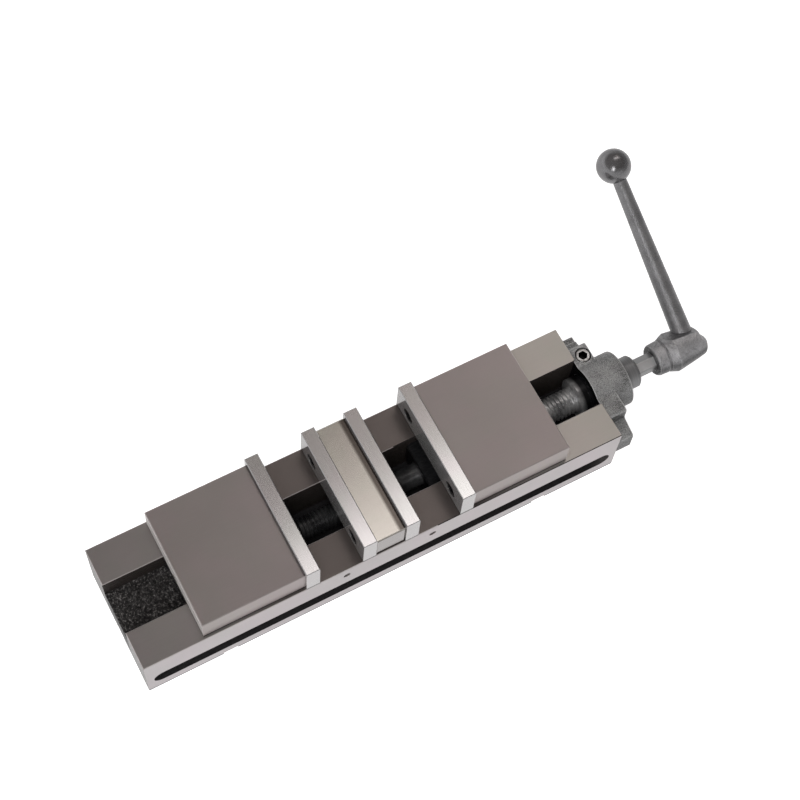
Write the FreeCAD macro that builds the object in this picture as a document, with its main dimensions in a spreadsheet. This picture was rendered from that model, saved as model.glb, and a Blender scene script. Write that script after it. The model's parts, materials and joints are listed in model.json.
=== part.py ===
import FreeCAD, Part
import math
import os
from types import SimpleNamespace

import Sketcher
from FreeCAD import Placement, Rotation, Vector

# Two-station machine vise. Lengths in millimetres, angles in degrees.
# X runs along the bed towards the handle, Y across it with the front face at -Y, Z up.
# The origin is the middle of the bed's ground underside.

SIZES = [
    # Bed
    ("bed_length", 602.0),
    ("bed_width", 152.4),
    ("bed_height", 86.4),
    ("bed_chamfer", 0.8),
    ("base_chamfer", 2.0),
    ("channel_width", 60.8),
    ("channel_below_screw", 31.0),
    ("channel_end_chamfer", 1.6),
    ("ledge_drop", 28.4),
    ("ledge_length", 80.0),
    ("groove_low", 20.0),
    ("groove_height", 24.0),
    ("groove_depth", 12.0),
    ("groove_length", 585.0),
    ("stop_hole_spacing", 108.6),
    ("stop_hole_height", 67.8),
    ("stop_hole_diameter", 8.5),
    ("stop_hole_depth", 18.0),
    ("keyway_width", 18.0),
    ("keyway_depth", 6.0),
    ("keyway_spacing", 400.0),
    ("keyway_run", 130.0),
    # Jaws
    ("jaw_width", 145.4),
    ("jaw_height", 37.0),
    ("jaw_length", 123.1),
    ("jaw_chamfer", 1.0),
    ("plate_thickness", 16.4),
    ("plate_height", 46.5),
    ("plate_chamfer", 0.8),
    ("jaw_gap", 53.4),
    ("tongue_clearance", 0.3),
    ("tongue_depth", 12.5),
    ("plate_screw_spacing", 100.0),
    ("plate_screw_height", 18.6),
    ("plate_screw_size", 12.0),
    ("plate_screw_head", 18.0),
    ("plate_screw_grip", 16.0),
    ("plate_screw_recess", 0.6),
    ("head_clearance", 1.2),
    ("shank_clearance", 0.6),
    ("thread_clearance", 0.05),
    # Screw
    ("screw_drop", 33.4),
    ("left_thread_diameter", 28.0),
    ("right_thread_diameter", 32.0),
    ("left_thread_end", 214.0),
    ("right_thread_start", 79.0),
    ("thread_lead_in", 2.0),
    ("collar_diameter", 50.0),
    ("collar_length", 12.5),
    ("collar_chamfer", 2.0),
    ("journal_diameter", 25.0),
    ("hexagon_flats", 20.6),
    ("hexagon_length", 52.5),
    ("hexagon_set_back", 2.5),
    ("running_clearance", 0.06),
    # Nuts and half balls
    ("nut_nose", 27.5),
    ("nut_length", 83.0),
    ("nut_top_clearance", 0.5),
    ("nut_below_screw", 20.0),
    ("nut_chamfer", 1.5),
    ("hook_width", 40.0),
    ("hook_thickness", 12.0),
    ("hook_rise", 32.0),
    ("half_ball_radius", 12.0),
    ("half_ball_setback", 22.5),
    ("half_ball_rise", 6.1),
    ("half_ball_stand_off", 1.0),
    ("cavity_clearance", 2.5),
    ("lock_screw_size", 10.0),
    ("lock_screw_length", 22.0),
    # Centre block
    ("centre_width", 149.0),
    ("centre_thickness", 36.7),
    ("centre_chamfer", 1.5),
    ("bushing_wall", 4.0),
    ("tongue_below_screw", 23.0),
    ("centre_bolt_size", 10.0),
    ("centre_bolt_head", 16.0),
    ("centre_bolt_spacing", 92.0),
    ("centre_bolt_pitch", 20.0),
    ("centre_bolt_recess", 3.0),
    ("centre_bolt_grip", 11.0),
    ("centre_dowel_size", 10.0),
    ("centre_dowel_length", 26.0),
    ("centre_dowel_spacing", 124.0),
    # Bracket
    ("flange_thickness", 25.0),
    ("wing_half_width", 72.5),
    ("wing_bottom_drop", 31.0),
    ("wing_tip_drop", 1.0),
    ("wing_root_rise", 6.0),
    ("lug_half_width", 49.5),
    ("lug_rise", 26.0),
    ("lug_round", 3.0),
    ("housing_radius", 34.0),
    ("housing_length", 47.5),
    ("housing_round", 2.0),
    ("bracket_bolt_size", 12.0),
    ("bracket_bolt_head", 18.0),
    ("bracket_bolt_recess", 0.5),
    ("bracket_bolt_spacing", 110.0),
    ("bracket_bolt_drop", 15.0),
    ("bracket_bolt_grip", 24.0),
    ("bracket_dowel_size", 8.0),
    ("bracket_dowel_length", 24.0),
    ("bracket_dowel_spacing", 84.0),
    ("bracket_dowel_drop", 25.0),
    ("pinch_screw_size", 12.0),
    ("pinch_screw_head", 18.0),
    ("pinch_head_clearance", 1.9),
    ("pinch_recess", 1.2),
    ("pinch_set_out", 14.6),
    ("pinch_offset", 35.4),
    ("pinch_grip", 16.0),
    ("slit_width", 2.0),
    # Screw bearing
    ("sleeve_radius", 20.0),
    ("sleeve_projection", 20.0),
    ("sleeve_chamfer", 2.5),
    ("race_thickness", 3.5),
    ("race_radius", 24.0),
    ("race_clearance", 1.0),
    ("collar_set_back", 5.0),
    ("roller_radius", 2.05),
    ("roller_length", 6.0),
    ("roller_count", 12),
    ("roller_circle", 18.5),
    ("roller_clearance", 0.05),
    ("cage_thickness", 2.6),
    ("cage_width", 9.0),
    ("end_bore_radius", 17.5),
    ("end_bore_depth", 11.0),
    ("end_washer_thickness", 3.0),
    ("end_washer_clearance", 0.3),
    ("ring_thickness", 1.8),
    ("ring_groove_depth", 0.9),
    ("ring_height", 3.0),
    ("ring_gap", 6.0),
    # Handle
    ("hub_gap", 25.0),
    ("hub_length", 72.5),
    ("hub_mouth_radius", 19.6),
    ("hub_neck_radius", 20.6),
    ("hub_neck_length", 16.0),
    ("hub_shoulder_length", 11.0),
    ("hub_body_radius", 25.0),
    ("hub_tip_radius", 19.2),
    ("hub_round", 4.0),
    ("socket_clearance", 0.12),
    ("pad_turn_angle", 41.6),
    ("pad_tilt_angle", 7.4),
    ("pad_distance", 18.0),
    ("nose_set_out", 14.0),
    ("nose_drop", 7.5),
    ("nose_slope_angle", 32.5),
    ("lever_set_out", 50.0),
    ("lever_lean_angle", 62.0),
    ("lever_foot_radius", 12.6),
    ("lever_tip_radius", 8.6),
    ("lever_reach", 230.5),
    ("lever_spigot_radius", 7.0),
    ("lever_spigot_depth", 10.0),
    ("knob_radius", 21.0),
    ("knob_flat_angle", 66.0),
    ("knob_spigot_radius", 5.0),
    ("knob_spigot_length", 14.0),
]

ALONG_X = Rotation(Vector(0, 0, 1), Vector(1, 0, 0))
ALONG_MINUS_X = Rotation(Vector(0, 0, 1), Vector(-1, 0, 0))
UPRIGHT = Rotation()
UPSIDE_DOWN = Rotation(Vector(1, 0, 0), 180)
HALF_TURN = Rotation(Vector(0, 0, 1), 180)

# A hexagon has its corners 60 degrees apart, this far from its middle for each millimetre across its flats
HEXAGON_SIDES = 6
HEXAGON_TURN = 360 / HEXAGON_SIDES
CORNER_PER_FLATS = 0.5 / math.cos(math.radians(HEXAGON_TURN / 2))

# Sockets, as shares of the screw's diameter
SOCKET_DEPTH = 0.55
CAP_SCREW_SOCKET = 0.8
SET_SCREW_SOCKET = 0.5

# Sketcher's names for its origin and for the points of an edge
ORIGIN, START, END, CENTRE = -1, 1, 2, 3

TOLERANCE = 1e-4


class Bound:
    """A length that knows both its number and its expression over the sheet's cells."""

    def __init__(self, text, number):
        self.text = text
        self.number = number

    @staticmethod
    def of(value):
        return value if isinstance(value, Bound) else Bound(repr(float(value)), float(value))

    def __add__(self, other):
        other = Bound.of(other)
        return Bound(f"({self.text} + {other.text})", self.number + other.number)

    def __sub__(self, other):
        other = Bound.of(other)
        return Bound(f"({self.text} - {other.text})", self.number - other.number)

    def __mul__(self, other):
        other = Bound.of(other)
        return Bound(f"({self.text} * {other.text})", self.number * other.number)

    def __truediv__(self, other):
        other = Bound.of(other)
        return Bound(f"({self.text} / {other.text})", self.number / other.number)

    def __neg__(self):
        return Bound(f"(0 - {self.text})", -self.number)

    def __radd__(self, other):
        return Bound.of(other) + self

    def __rsub__(self, other):
        return Bound.of(other) - self

    def __rmul__(self, other):
        return Bound.of(other) * self


def sine(angle):
    return Bound(f"sin({angle.text} * 1 deg)", math.sin(math.radians(angle.number)))


def cosine(angle):
    return Bound(f"cos({angle.text} * 1 deg)", math.cos(math.radians(angle.number)))


doc = FreeCAD.newDocument("machine_vise")
sheet = doc.addObject("Spreadsheet::Sheet", "Sizes")
for row, (alias, number) in enumerate(SIZES, start=1):
    sheet.set(f"A{row}", alias)
    sheet.set(f"B{row}", repr(number))
    sheet.setAlias(f"B{row}", alias)
doc.recompute()
d = SimpleNamespace(**{alias: Bound(f"Sizes.{alias}", float(sheet.get(alias))) for alias, _ in SIZES})

ZERO = Bound.of(0)
parts = {}


def keep(node, label):
    """Register a finished sub-part under the name of its file."""
    node.Label = label
    parts[label] = node
    return node


def place(node, rotation, x=ZERO, y=ZERO, z=ZERO):
    """Put a node at a bound position with a fixed rotation."""
    node.Placement = Placement(Vector(x.number, y.number, z.number), rotation)
    for axis, value in (("x", x), ("y", y), ("z", z)):
        if value.text != ZERO.text:
            node.setExpression(f"Placement.Base.{axis}", value.text)


# PartDesign helpers

def new_body(name):
    return doc.addObject("PartDesign::Body", name)


def origin_plane(body, role):
    return next(item for item in body.Origin.OriginFeatures if item.Role == role)


def new_sketch(body, role, offset=ZERO):
    """A sketch on one of the body's origin planes, moved along the plane's normal."""
    sketch = body.newObject("Sketcher::SketchObject", f"{body.Name}_sketch")
    sketch.AttachmentSupport = [(origin_plane(body, role), "")]
    sketch.MapMode = "FlatFace"
    sketch.AttachmentOffset = Placement(Vector(0, 0, offset.number), Rotation())
    if offset.text != ZERO.text:
        sketch.setExpression("AttachmentOffset.Base.z", offset.text)
    return sketch


def constrain(sketch, kind, *where, value):
    """A driving dimension of the sketch, bound to the sheet."""
    index = sketch.addConstraint(Sketcher.Constraint(kind, *where, value.number))
    name = f"size_{index}"
    sketch.renameConstraint(index, name)
    sketch.setExpression(f"Constraints.{name}", value.text)


def polygon(sketch, points):
    """A closed outline through bound points."""
    points = [(Bound.of(x), Bound.of(y)) for x, y in points]
    first = sketch.GeometryCount
    count = len(points)
    for index in range(count):
        x0, y0 = points[index]
        x1, y1 = points[(index + 1) % count]
        line = Part.LineSegment(Vector(x0.number, y0.number, 0), Vector(x1.number, y1.number, 0))
        sketch.addGeometry(line)
    for index in range(count):
        following = first + (index + 1) % count
        sketch.addConstraint(Sketcher.Constraint("Coincident", first + index, END, following, START))
    for index, (x, y) in enumerate(points):
        constrain(sketch, "DistanceX", ORIGIN, START, first + index, START, value=x)
        constrain(sketch, "DistanceY", ORIGIN, START, first + index, START, value=y)


def rectangle(sketch, x0, x1, y0, y1):
    polygon(sketch, [(x0, y0), (x1, y0), (x1, y1), (x0, y1)])


def circle(sketch, x, y, radius):
    x, y, radius = Bound.of(x), Bound.of(y), Bound.of(radius)
    centre = Vector(x.number, y.number, 0)
    index = sketch.addGeometry(Part.Circle(centre, Vector(0, 0, 1), radius.number))
    constrain(sketch, "Radius", index, value=radius)
    constrain(sketch, "DistanceX", ORIGIN, START, index, CENTRE, value=x)
    constrain(sketch, "DistanceY", ORIGIN, START, index, CENTRE, value=y)


def round_ended_slot(sketch, half_length, low, height):
    """A slot along the sketch's x, closed by a half circle at each end."""
    radius = height / 2
    run = half_length - radius
    middle = (low + radius).number
    high = low + height
    centre_axis = Vector(0, 0, 1)
    circle_right = Part.Circle(Vector(run.number, middle, 0), centre_axis, radius.number)
    circle_left = Part.Circle(Vector(-run.number, middle, 0), centre_axis, radius.number)
    lower = sketch.addGeometry(
        Part.LineSegment(Vector(-run.number, low.number, 0), Vector(run.number, low.number, 0)))
    right = sketch.addGeometry(Part.ArcOfCircle(circle_right, -math.pi / 2, math.pi / 2))
    upper = sketch.addGeometry(
        Part.LineSegment(Vector(run.number, high.number, 0), Vector(-run.number, high.number, 0)))
    left = sketch.addGeometry(Part.ArcOfCircle(circle_left, math.pi / 2, 3 * math.pi / 2))
    for edge, following in ((lower, right), (right, upper), (upper, left), (left, lower)):
        sketch.addConstraint(Sketcher.Constraint("Coincident", edge, END, following, START))
    for edge, point, x, y in ((lower, START, -run, low), (lower, END, run, low),
                              (upper, START, run, high), (upper, END, -run, high)):
        constrain(sketch, "DistanceX", ORIGIN, START, edge, point, value=x)
        constrain(sketch, "DistanceY", ORIGIN, START, edge, point, value=y)
    constrain(sketch, "DistanceX", ORIGIN, START, right, CENTRE, value=run)
    constrain(sketch, "DistanceX", ORIGIN, START, left, CENTRE, value=-run)


def pad(body, sketch, length):
    """Grow the outline along its plane's normal."""
    feature = body.newObject("PartDesign::Pad", f"{body.Name}_pad")
    feature.Profile = sketch
    feature.Length = length.number
    feature.setExpression("Length", length.text)
    doc.recompute()
    return feature


def pocket(body, sketch, length, with_normal=False):
    """Cut the outline against its plane's normal, or along it, and check that it cuts."""
    before = body.Shape.Volume
    feature = body.newObject("PartDesign::Pocket", f"{body.Name}_pocket")
    feature.Profile = sketch
    feature.Length = length.number
    feature.setExpression("Length", length.text)
    feature.Reversed = with_normal
    doc.recompute()
    if not body.Shape.Volume < before:
        raise RuntimeError(f"{feature.Name} cuts nothing")
    return feature


def mirrored(body, features, role):
    feature = body.newObject("PartDesign::Mirrored", f"{body.Name}_mirrored")
    feature.Originals = features
    feature.MirrorPlane = (origin_plane(body, role), [""])
    body.Tip = feature
    doc.recompute()
    return feature


def revolved(body, sketch):
    """Turn an outline on the XZ plane about X."""
    feature = body.newObject("PartDesign::Revolution", f"{body.Name}_revolution")
    feature.Profile = sketch
    feature.ReferenceAxis = (sketch, ["H_Axis"])
    feature.Angle = 360
    doc.recompute()
    return feature


def edges_where(shape, test):
    return [f"Edge{index}" for index, edge in enumerate(shape.Edges, start=1) if test(edge)]


def dressed(body, kind, value, test):
    """A chamfer or a fillet on the edges that pass the test."""
    base = body.Tip
    names = edges_where(base.Shape, test)
    if not names:
        raise RuntimeError(f"no edge to dress on {body.Name}")
    feature = body.newObject(f"PartDesign::{kind}", f"{body.Name}_{kind.lower()}")
    feature.Base = (base, names)
    setting = "Size" if kind == "Chamfer" else "Radius"
    setattr(feature, setting, value.number)
    feature.setExpression(setting, value.text)
    doc.recompute()
    return feature


def straight(edge):
    return not edge.Degenerated and isinstance(edge.Curve, Part.Line)


def near(a, b):
    return abs(a - b) < TOLERANCE


def lies_at(edge, axis, value):
    return all(near(getattr(vertex.Point, axis), value.number) for vertex in edge.Vertexes)


# Part helpers

def cylinder(name, radius, height, rotation=UPRIGHT, x=ZERO, y=ZERO, z=ZERO):
    node = doc.addObject("Part::Cylinder", name)
    for setting, value in (("Radius", radius), ("Height", height)):
        setattr(node, setting, value.number)
        node.setExpression(setting, value.text)
    place(node, rotation, x, y, z)
    return node


def hexagonal_prism(name, flats, height, x=ZERO, z=ZERO):
    node = doc.addObject("Part::Prism", name)
    node.Polygon = HEXAGON_SIDES
    corner = flats * CORNER_PER_FLATS
    node.Circumradius = corner.number
    node.setExpression("Circumradius", corner.text)
    node.Height = height.number
    node.setExpression("Height", height.text)
    place(node, UPRIGHT, x, ZERO, z)
    return node


def cut(name, base, tool):
    node = doc.addObject("Part::Cut", name)
    node.Base = base
    node.Tool = tool
    return node


def fuse(name, shapes):
    node = doc.addObject("Part::MultiFuse", name)
    node.Shapes = shapes
    return node


def group(name, nodes):
    node = doc.addObject("Part::Compound", name)
    node.Links = nodes
    return node


def cap_screw(name, diameter, head, length, rotation, x, y, z):
    """A socket head cap screw: the head's underside at the given point, the head along the direction."""
    socket_depth = diameter * SOCKET_DEPTH
    socket_flats = diameter * CAP_SCREW_SOCKET
    top = cylinder(f"{name}_head", head / 2, diameter)
    shank = cylinder(f"{name}_shank", diameter / 2, length, z=-length)
    socket = hexagonal_prism(f"{name}_socket", socket_flats, socket_depth, z=diameter - socket_depth)
    screw = cut(f"{name}_screw", fuse(f"{name}_blank", [top, shank]), socket)
    place(screw, rotation, x, y, z)
    return screw


def ring(name, inner, outer, thickness, x):
    """A flat ring on the screw's axis."""
    blank = cylinder(f"{name}_blank", outer, thickness)
    bore = cylinder(f"{name}_bore", inner, thickness)
    node = cut(name, blank, bore)
    place(node, ALONG_X, x, ZERO, screw_height)
    return node


def dowel_pair(label, diameter, length, rotation, places):
    pins = []
    for index, (x, y, z) in enumerate(places):
        pins.append(cylinder(f"{label}_{index}", diameter / 2, length, rotation, x, y, z))
    return keep(group(label, pins), label)


# Places that several pieces share

half_length = d.bed_length / 2
half_width = d.bed_width / 2
half_channel = d.channel_width / 2
screw_height = d.bed_height - d.screw_drop
channel_floor = screw_height - d.channel_below_screw
ledge_top = d.bed_height - d.ledge_drop
half_jaw = d.jaw_width / 2
half_centre = d.centre_thickness / 2
centre_side = d.centre_width / 2
centre_face = half_centre + d.plate_thickness
plate_face = centre_face + d.jaw_gap
jaw_front = plate_face + d.plate_thickness
jaw_back = jaw_front + d.jaw_length
jaw_top = d.bed_height + d.jaw_height
plate_screw_z = d.bed_height + d.plate_screw_height
plate_screw_y = d.plate_screw_spacing / 2
half_tongue = half_channel - d.tongue_clearance
tongue_bottom = d.bed_height - d.tongue_depth

housing_end = half_length + d.housing_length
sleeve_end = housing_end + d.sleeve_projection
collar_end = half_length - d.collar_set_back
collar_start = collar_end - d.collar_length
rollers_start = collar_end + d.race_thickness
rollers_end = rollers_start + 2 * (d.roller_radius + d.roller_clearance)
sleeve_start = rollers_end + d.race_thickness
end_bore_floor = sleeve_end - d.end_bore_depth
ring_start = end_bore_floor + d.end_washer_thickness
hexagon_start = sleeve_end - d.hexagon_set_back
hexagon_end = hexagon_start + d.hexagon_length
hub_start = sleeve_end + d.hub_gap
left_radius = d.left_thread_diameter / 2
right_radius = d.right_thread_diameter / 2
lug_top = screw_height + d.lug_rise
bracket_bolt_z = screw_height - d.bracket_bolt_drop
bracket_dowel_z = screw_height - d.bracket_dowel_drop
journal_radius = d.journal_diameter / 2

nut_start = jaw_front - d.nut_nose
nut_end = nut_start + d.nut_length
nut_top = tongue_bottom - d.nut_top_clearance
hook_top = nut_top + d.hook_rise
half_ball_x = jaw_front + d.half_ball_setback
half_ball_z = d.bed_height + d.half_ball_rise
slant = half_ball_x + half_ball_z
diagonal = math.sqrt(2)


def hexagon_points(flats):
    """Corners of a hexagon about the screw's axis, one of them in line with the lever."""
    corner = flats * CORNER_PER_FLATS
    turns = [d.lever_lean_angle + HEXAGON_TURN * step for step in range(HEXAGON_SIDES)]
    return [(corner * sine(turn), corner * cosine(turn)) for turn in turns]


# Bed

def build_bed():
    body = new_body("bed")
    section = new_sketch(body, "YZ_Plane", -half_length)
    polygon(section, [
        (-half_width, ZERO), (half_width, ZERO), (half_width, d.bed_height), (half_channel, d.bed_height),
        (half_channel, channel_floor), (-half_channel, channel_floor), (-half_channel, d.bed_height),
        (-half_width, d.bed_height),
    ])
    pad(body, section, d.bed_length)

    ledge = new_sketch(body, "YZ_Plane", -half_length)
    rectangle(ledge, -half_channel, half_channel, channel_floor, ledge_top)
    pad(body, ledge, d.ledge_length)

    groove = new_sketch(body, "XZ_Plane", half_width)
    round_ended_slot(groove, d.groove_length / 2, d.groove_low, d.groove_height)
    front_groove = pocket(body, groove, d.groove_depth)
    mirrored(body, [front_groove], "XZ_Plane")

    stop_holes = new_sketch(body, "XZ_Plane", half_width)
    for side in (-1, 1):
        x = side * d.stop_hole_spacing / 2
        circle(stop_holes, x, d.stop_hole_height, d.stop_hole_diameter / 2)
    pocket(body, stop_holes, d.stop_hole_depth)

    across = new_sketch(body, "XY_Plane")
    along = new_sketch(body, "XY_Plane")
    half_key = d.keyway_width / 2
    for side in (-1, 1):
        middle = side * d.keyway_spacing / 2
        rectangle(across, middle - half_key, middle + half_key, -half_width, half_width)
        rectangle(along, side * (half_length - d.keyway_run), side * half_length, -half_key, half_key)
    pocket(body, across, d.keyway_depth, with_normal=True)
    pocket(body, along, d.keyway_depth, with_normal=True)

    bolts = new_sketch(body, "XY_Plane")
    recesses = new_sketch(body, "XY_Plane")
    for x, y in centre_bolt_places():
        circle(bolts, x, y, d.centre_bolt_size / 2 + d.shank_clearance)
        circle(recesses, x, y, (d.centre_bolt_head + d.head_clearance) / 2)
    pocket(body, bolts, d.bed_height, with_normal=True)
    pocket(body, recesses, d.centre_bolt_recess + d.centre_bolt_size, with_normal=True)

    dowels = new_sketch(body, "XY_Plane", d.bed_height)
    for side in (-1, 1):
        circle(dowels, ZERO, side * d.centre_dowel_spacing / 2, d.centre_dowel_size / 2 + d.thread_clearance)
    pocket(body, dowels, d.centre_dowel_length / 2 + d.thread_clearance)

    bracket_threads = new_sketch(body, "YZ_Plane", half_length)
    bracket_dowels = new_sketch(body, "YZ_Plane", half_length)
    for side in (-1, 1):
        bolt_y = side * d.bracket_bolt_spacing / 2
        dowel_y = side * d.bracket_dowel_spacing / 2
        circle(bracket_threads, bolt_y, bracket_bolt_z, d.bracket_bolt_size / 2 + d.thread_clearance)
        circle(bracket_dowels, dowel_y, bracket_dowel_z, d.bracket_dowel_size / 2 + d.thread_clearance)
    pocket(body, bracket_threads, d.bracket_bolt_grip + d.head_clearance)
    pocket(body, bracket_dowels, d.bracket_dowel_length / 2 + d.thread_clearance)

    dressed(body, "Chamfer", d.channel_end_chamfer, is_channel_corner)
    dressed(body, "Chamfer", d.bed_chamfer, lambda edge: straight(edge) and lies_at(edge, "z", d.bed_height))
    dressed(body, "Chamfer", d.base_chamfer, is_long_base_edge)
    keep(body, "bed")


def is_channel_corner(edge):
    """The upright edges where the channel meets the bracket."""
    return straight(edge) and lies_at(edge, "x", half_length) and (
        lies_at(edge, "y", half_channel) or lies_at(edge, "y", -half_channel)
    )


def is_long_base_edge(edge):
    """The stretches of the underside's front and back edges."""
    return straight(edge) and lies_at(edge, "z", ZERO) and (
        lies_at(edge, "y", half_width) or lies_at(edge, "y", -half_width)
    )


def centre_bolt_places():
    pitch = d.centre_bolt_pitch / 2
    spacing = d.centre_bolt_spacing / 2
    return [(side * pitch, end * spacing) for side in (-1, 1) for end in (-1, 1)]


# Centre block

def build_centre_block():
    body = new_body("centre_block")
    block = new_sketch(body, "YZ_Plane", -half_centre)
    rectangle(block, -centre_side, centre_side, d.bed_height, jaw_top)
    pad(body, block, d.centre_thickness)

    tongue = new_sketch(body, "YZ_Plane", -half_centre)
    rectangle(tongue, -half_tongue, half_tongue, screw_height - d.tongue_below_screw, d.bed_height)
    pad(body, tongue, d.centre_thickness)

    bore = new_sketch(body, "YZ_Plane", half_centre)
    circle(bore, ZERO, screw_height, left_radius + d.running_clearance + d.bushing_wall)
    pocket(body, bore, d.centre_thickness)

    plate_threads = new_sketch(body, "YZ_Plane", half_centre)
    for side in (-1, 1):
        circle(plate_threads, side * plate_screw_y, plate_screw_z, d.plate_screw_size / 2 + d.thread_clearance)
    pocket(body, plate_threads, d.centre_thickness)

    bolts = new_sketch(body, "XY_Plane", d.bed_height)
    for x, y in centre_bolt_places():
        circle(bolts, x, y, d.centre_bolt_size / 2 + d.thread_clearance)
    pocket(body, bolts, d.centre_bolt_grip + d.thread_clearance, with_normal=True)

    dowels = new_sketch(body, "XY_Plane", d.bed_height)
    for side in (-1, 1):
        circle(dowels, ZERO, side * d.centre_dowel_spacing / 2, d.centre_dowel_size / 2 + d.thread_clearance)
    pocket(body, dowels, d.centre_dowel_length / 2 + d.thread_clearance, with_normal=True)

    dressed(body, "Chamfer", d.centre_chamfer, is_free_centre_edge)
    keep(body, "centre_block")


def is_free_centre_edge(edge):
    """The edges of the block's two ends, apart from those on the bed."""
    at_end = lies_at(edge, "y", centre_side) or lies_at(edge, "y", -centre_side)
    return straight(edge) and at_end and not lies_at(edge, "z", d.bed_height)


def build_centre_fasteners():
    bushing_radius = left_radius + d.running_clearance
    bushing = ring("centre_bushing", bushing_radius, bushing_radius + d.bushing_wall, d.centre_thickness,
                   -half_centre)
    keep(bushing, "centre_bushing")

    seat = d.centre_bolt_recess + d.centre_bolt_size
    length = d.bed_height - seat + d.centre_bolt_grip
    bolts = []
    for index, (x, y) in enumerate(centre_bolt_places()):
        bolts.append(cap_screw(f"centre_bolt_{index}", d.centre_bolt_size, d.centre_bolt_head, length,
                               UPSIDE_DOWN, x, y, seat))
    keep(group("centre_bolts", bolts), "centre_bolts")

    low = d.bed_height - d.centre_dowel_length / 2
    places = [(ZERO, side * d.centre_dowel_spacing / 2, low) for side in (-1, 1)]
    dowel_pair("centre_dowels", d.centre_dowel_size, d.centre_dowel_length, UPRIGHT, places)


# Jaw plates and their screws, drawn for the right half

def build_plate(label, start, heads_towards_centre, rotation=UPRIGHT):
    """A hard plate with two counterbored holes; the heads lie in the face that grips."""
    body = new_body(label)
    end = start + d.plate_thickness
    top = d.bed_height + d.plate_height
    blank = new_sketch(body, "YZ_Plane", start)
    rectangle(blank, -half_width, half_width, d.bed_height, top)
    pad(body, blank, d.plate_thickness)

    through = new_sketch(body, "YZ_Plane", end)
    recesses = new_sketch(body, "YZ_Plane", start if heads_towards_centre else end)
    for side in (-1, 1):
        y = side * plate_screw_y
        circle(through, y, plate_screw_z, d.plate_screw_size / 2 + d.shank_clearance / 2)
        circle(recesses, y, plate_screw_z, (d.plate_screw_head + d.head_clearance) / 2)
    pocket(body, through, d.plate_thickness)
    depth = d.plate_screw_size + d.plate_screw_recess
    pocket(body, recesses, depth, with_normal=heads_towards_centre)

    dressed(body, "Chamfer", d.plate_chamfer, lambda edge: straight(edge) and lies_at(edge, "z", top))
    body.Placement = Placement(Vector(), rotation)
    keep(body, label)

    seat = start + depth if heads_towards_centre else end - depth
    length = d.plate_thickness - depth + d.plate_screw_grip
    direction = ALONG_MINUS_X if heads_towards_centre else ALONG_X
    screws = []
    for index, side in enumerate((-1, 1)):
        screws.append(cap_screw(f"{label}_{index}", d.plate_screw_size, d.plate_screw_head, length,
                                direction, seat, side * plate_screw_y, plate_screw_z))
    pair = group(f"{label}_screws", screws)
    pair.Placement = Placement(Vector(), rotation)
    keep(pair, f"{label}_screws")


# Sliding jaws, drawn for the right half

def build_jaw(side, rotation, thread_radius):
    build_jaw_body(side, rotation)
    build_plate(f"{side}_jaw_plate", plate_face, True, rotation)
    build_nut(side, rotation, thread_radius)

    half_ball = doc.addObject("Part::Sphere", f"{side}_half_ball")
    half_ball.Angle1 = 0
    half_ball.Angle2 = 90
    half_ball.Radius = d.half_ball_radius.number
    half_ball.setExpression("Radius", d.half_ball_radius.text)
    turned = group(f"{side}_half_ball_seat", [half_ball])
    place(half_ball, Rotation(Vector(0, 0, 1), Vector(-1, 0, -1)), half_ball_x, ZERO, half_ball_z)
    turned.Placement = Placement(Vector(), rotation)
    keep(turned, f"{side}_half_ball")

    name = f"{side}_lock"
    blank = cylinder(f"{name}_blank", d.lock_screw_size / 2, d.lock_screw_length)
    socket_depth = d.lock_screw_size * SOCKET_DEPTH
    socket = hexagonal_prism(f"{name}_socket", d.lock_screw_size * SET_SCREW_SOCKET, socket_depth,
                             z=d.lock_screw_length - socket_depth)
    screw = cut(f"{name}_screw", blank, socket)
    place(screw, ALONG_X, lock_screw_tip(), ZERO, half_ball_z)
    turned = group(f"{name}_place", [screw])
    turned.Placement = Placement(Vector(), rotation)
    keep(turned, f"{side}_nut_lock_screw")


def lock_screw_tip():
    """Where the flat tip first meets the slanted back of the nut's hook."""
    back_of_hook = slant + d.hook_thickness * diagonal
    lower_edge = half_ball_z - d.lock_screw_size / 2
    return back_of_hook - lower_edge


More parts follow.
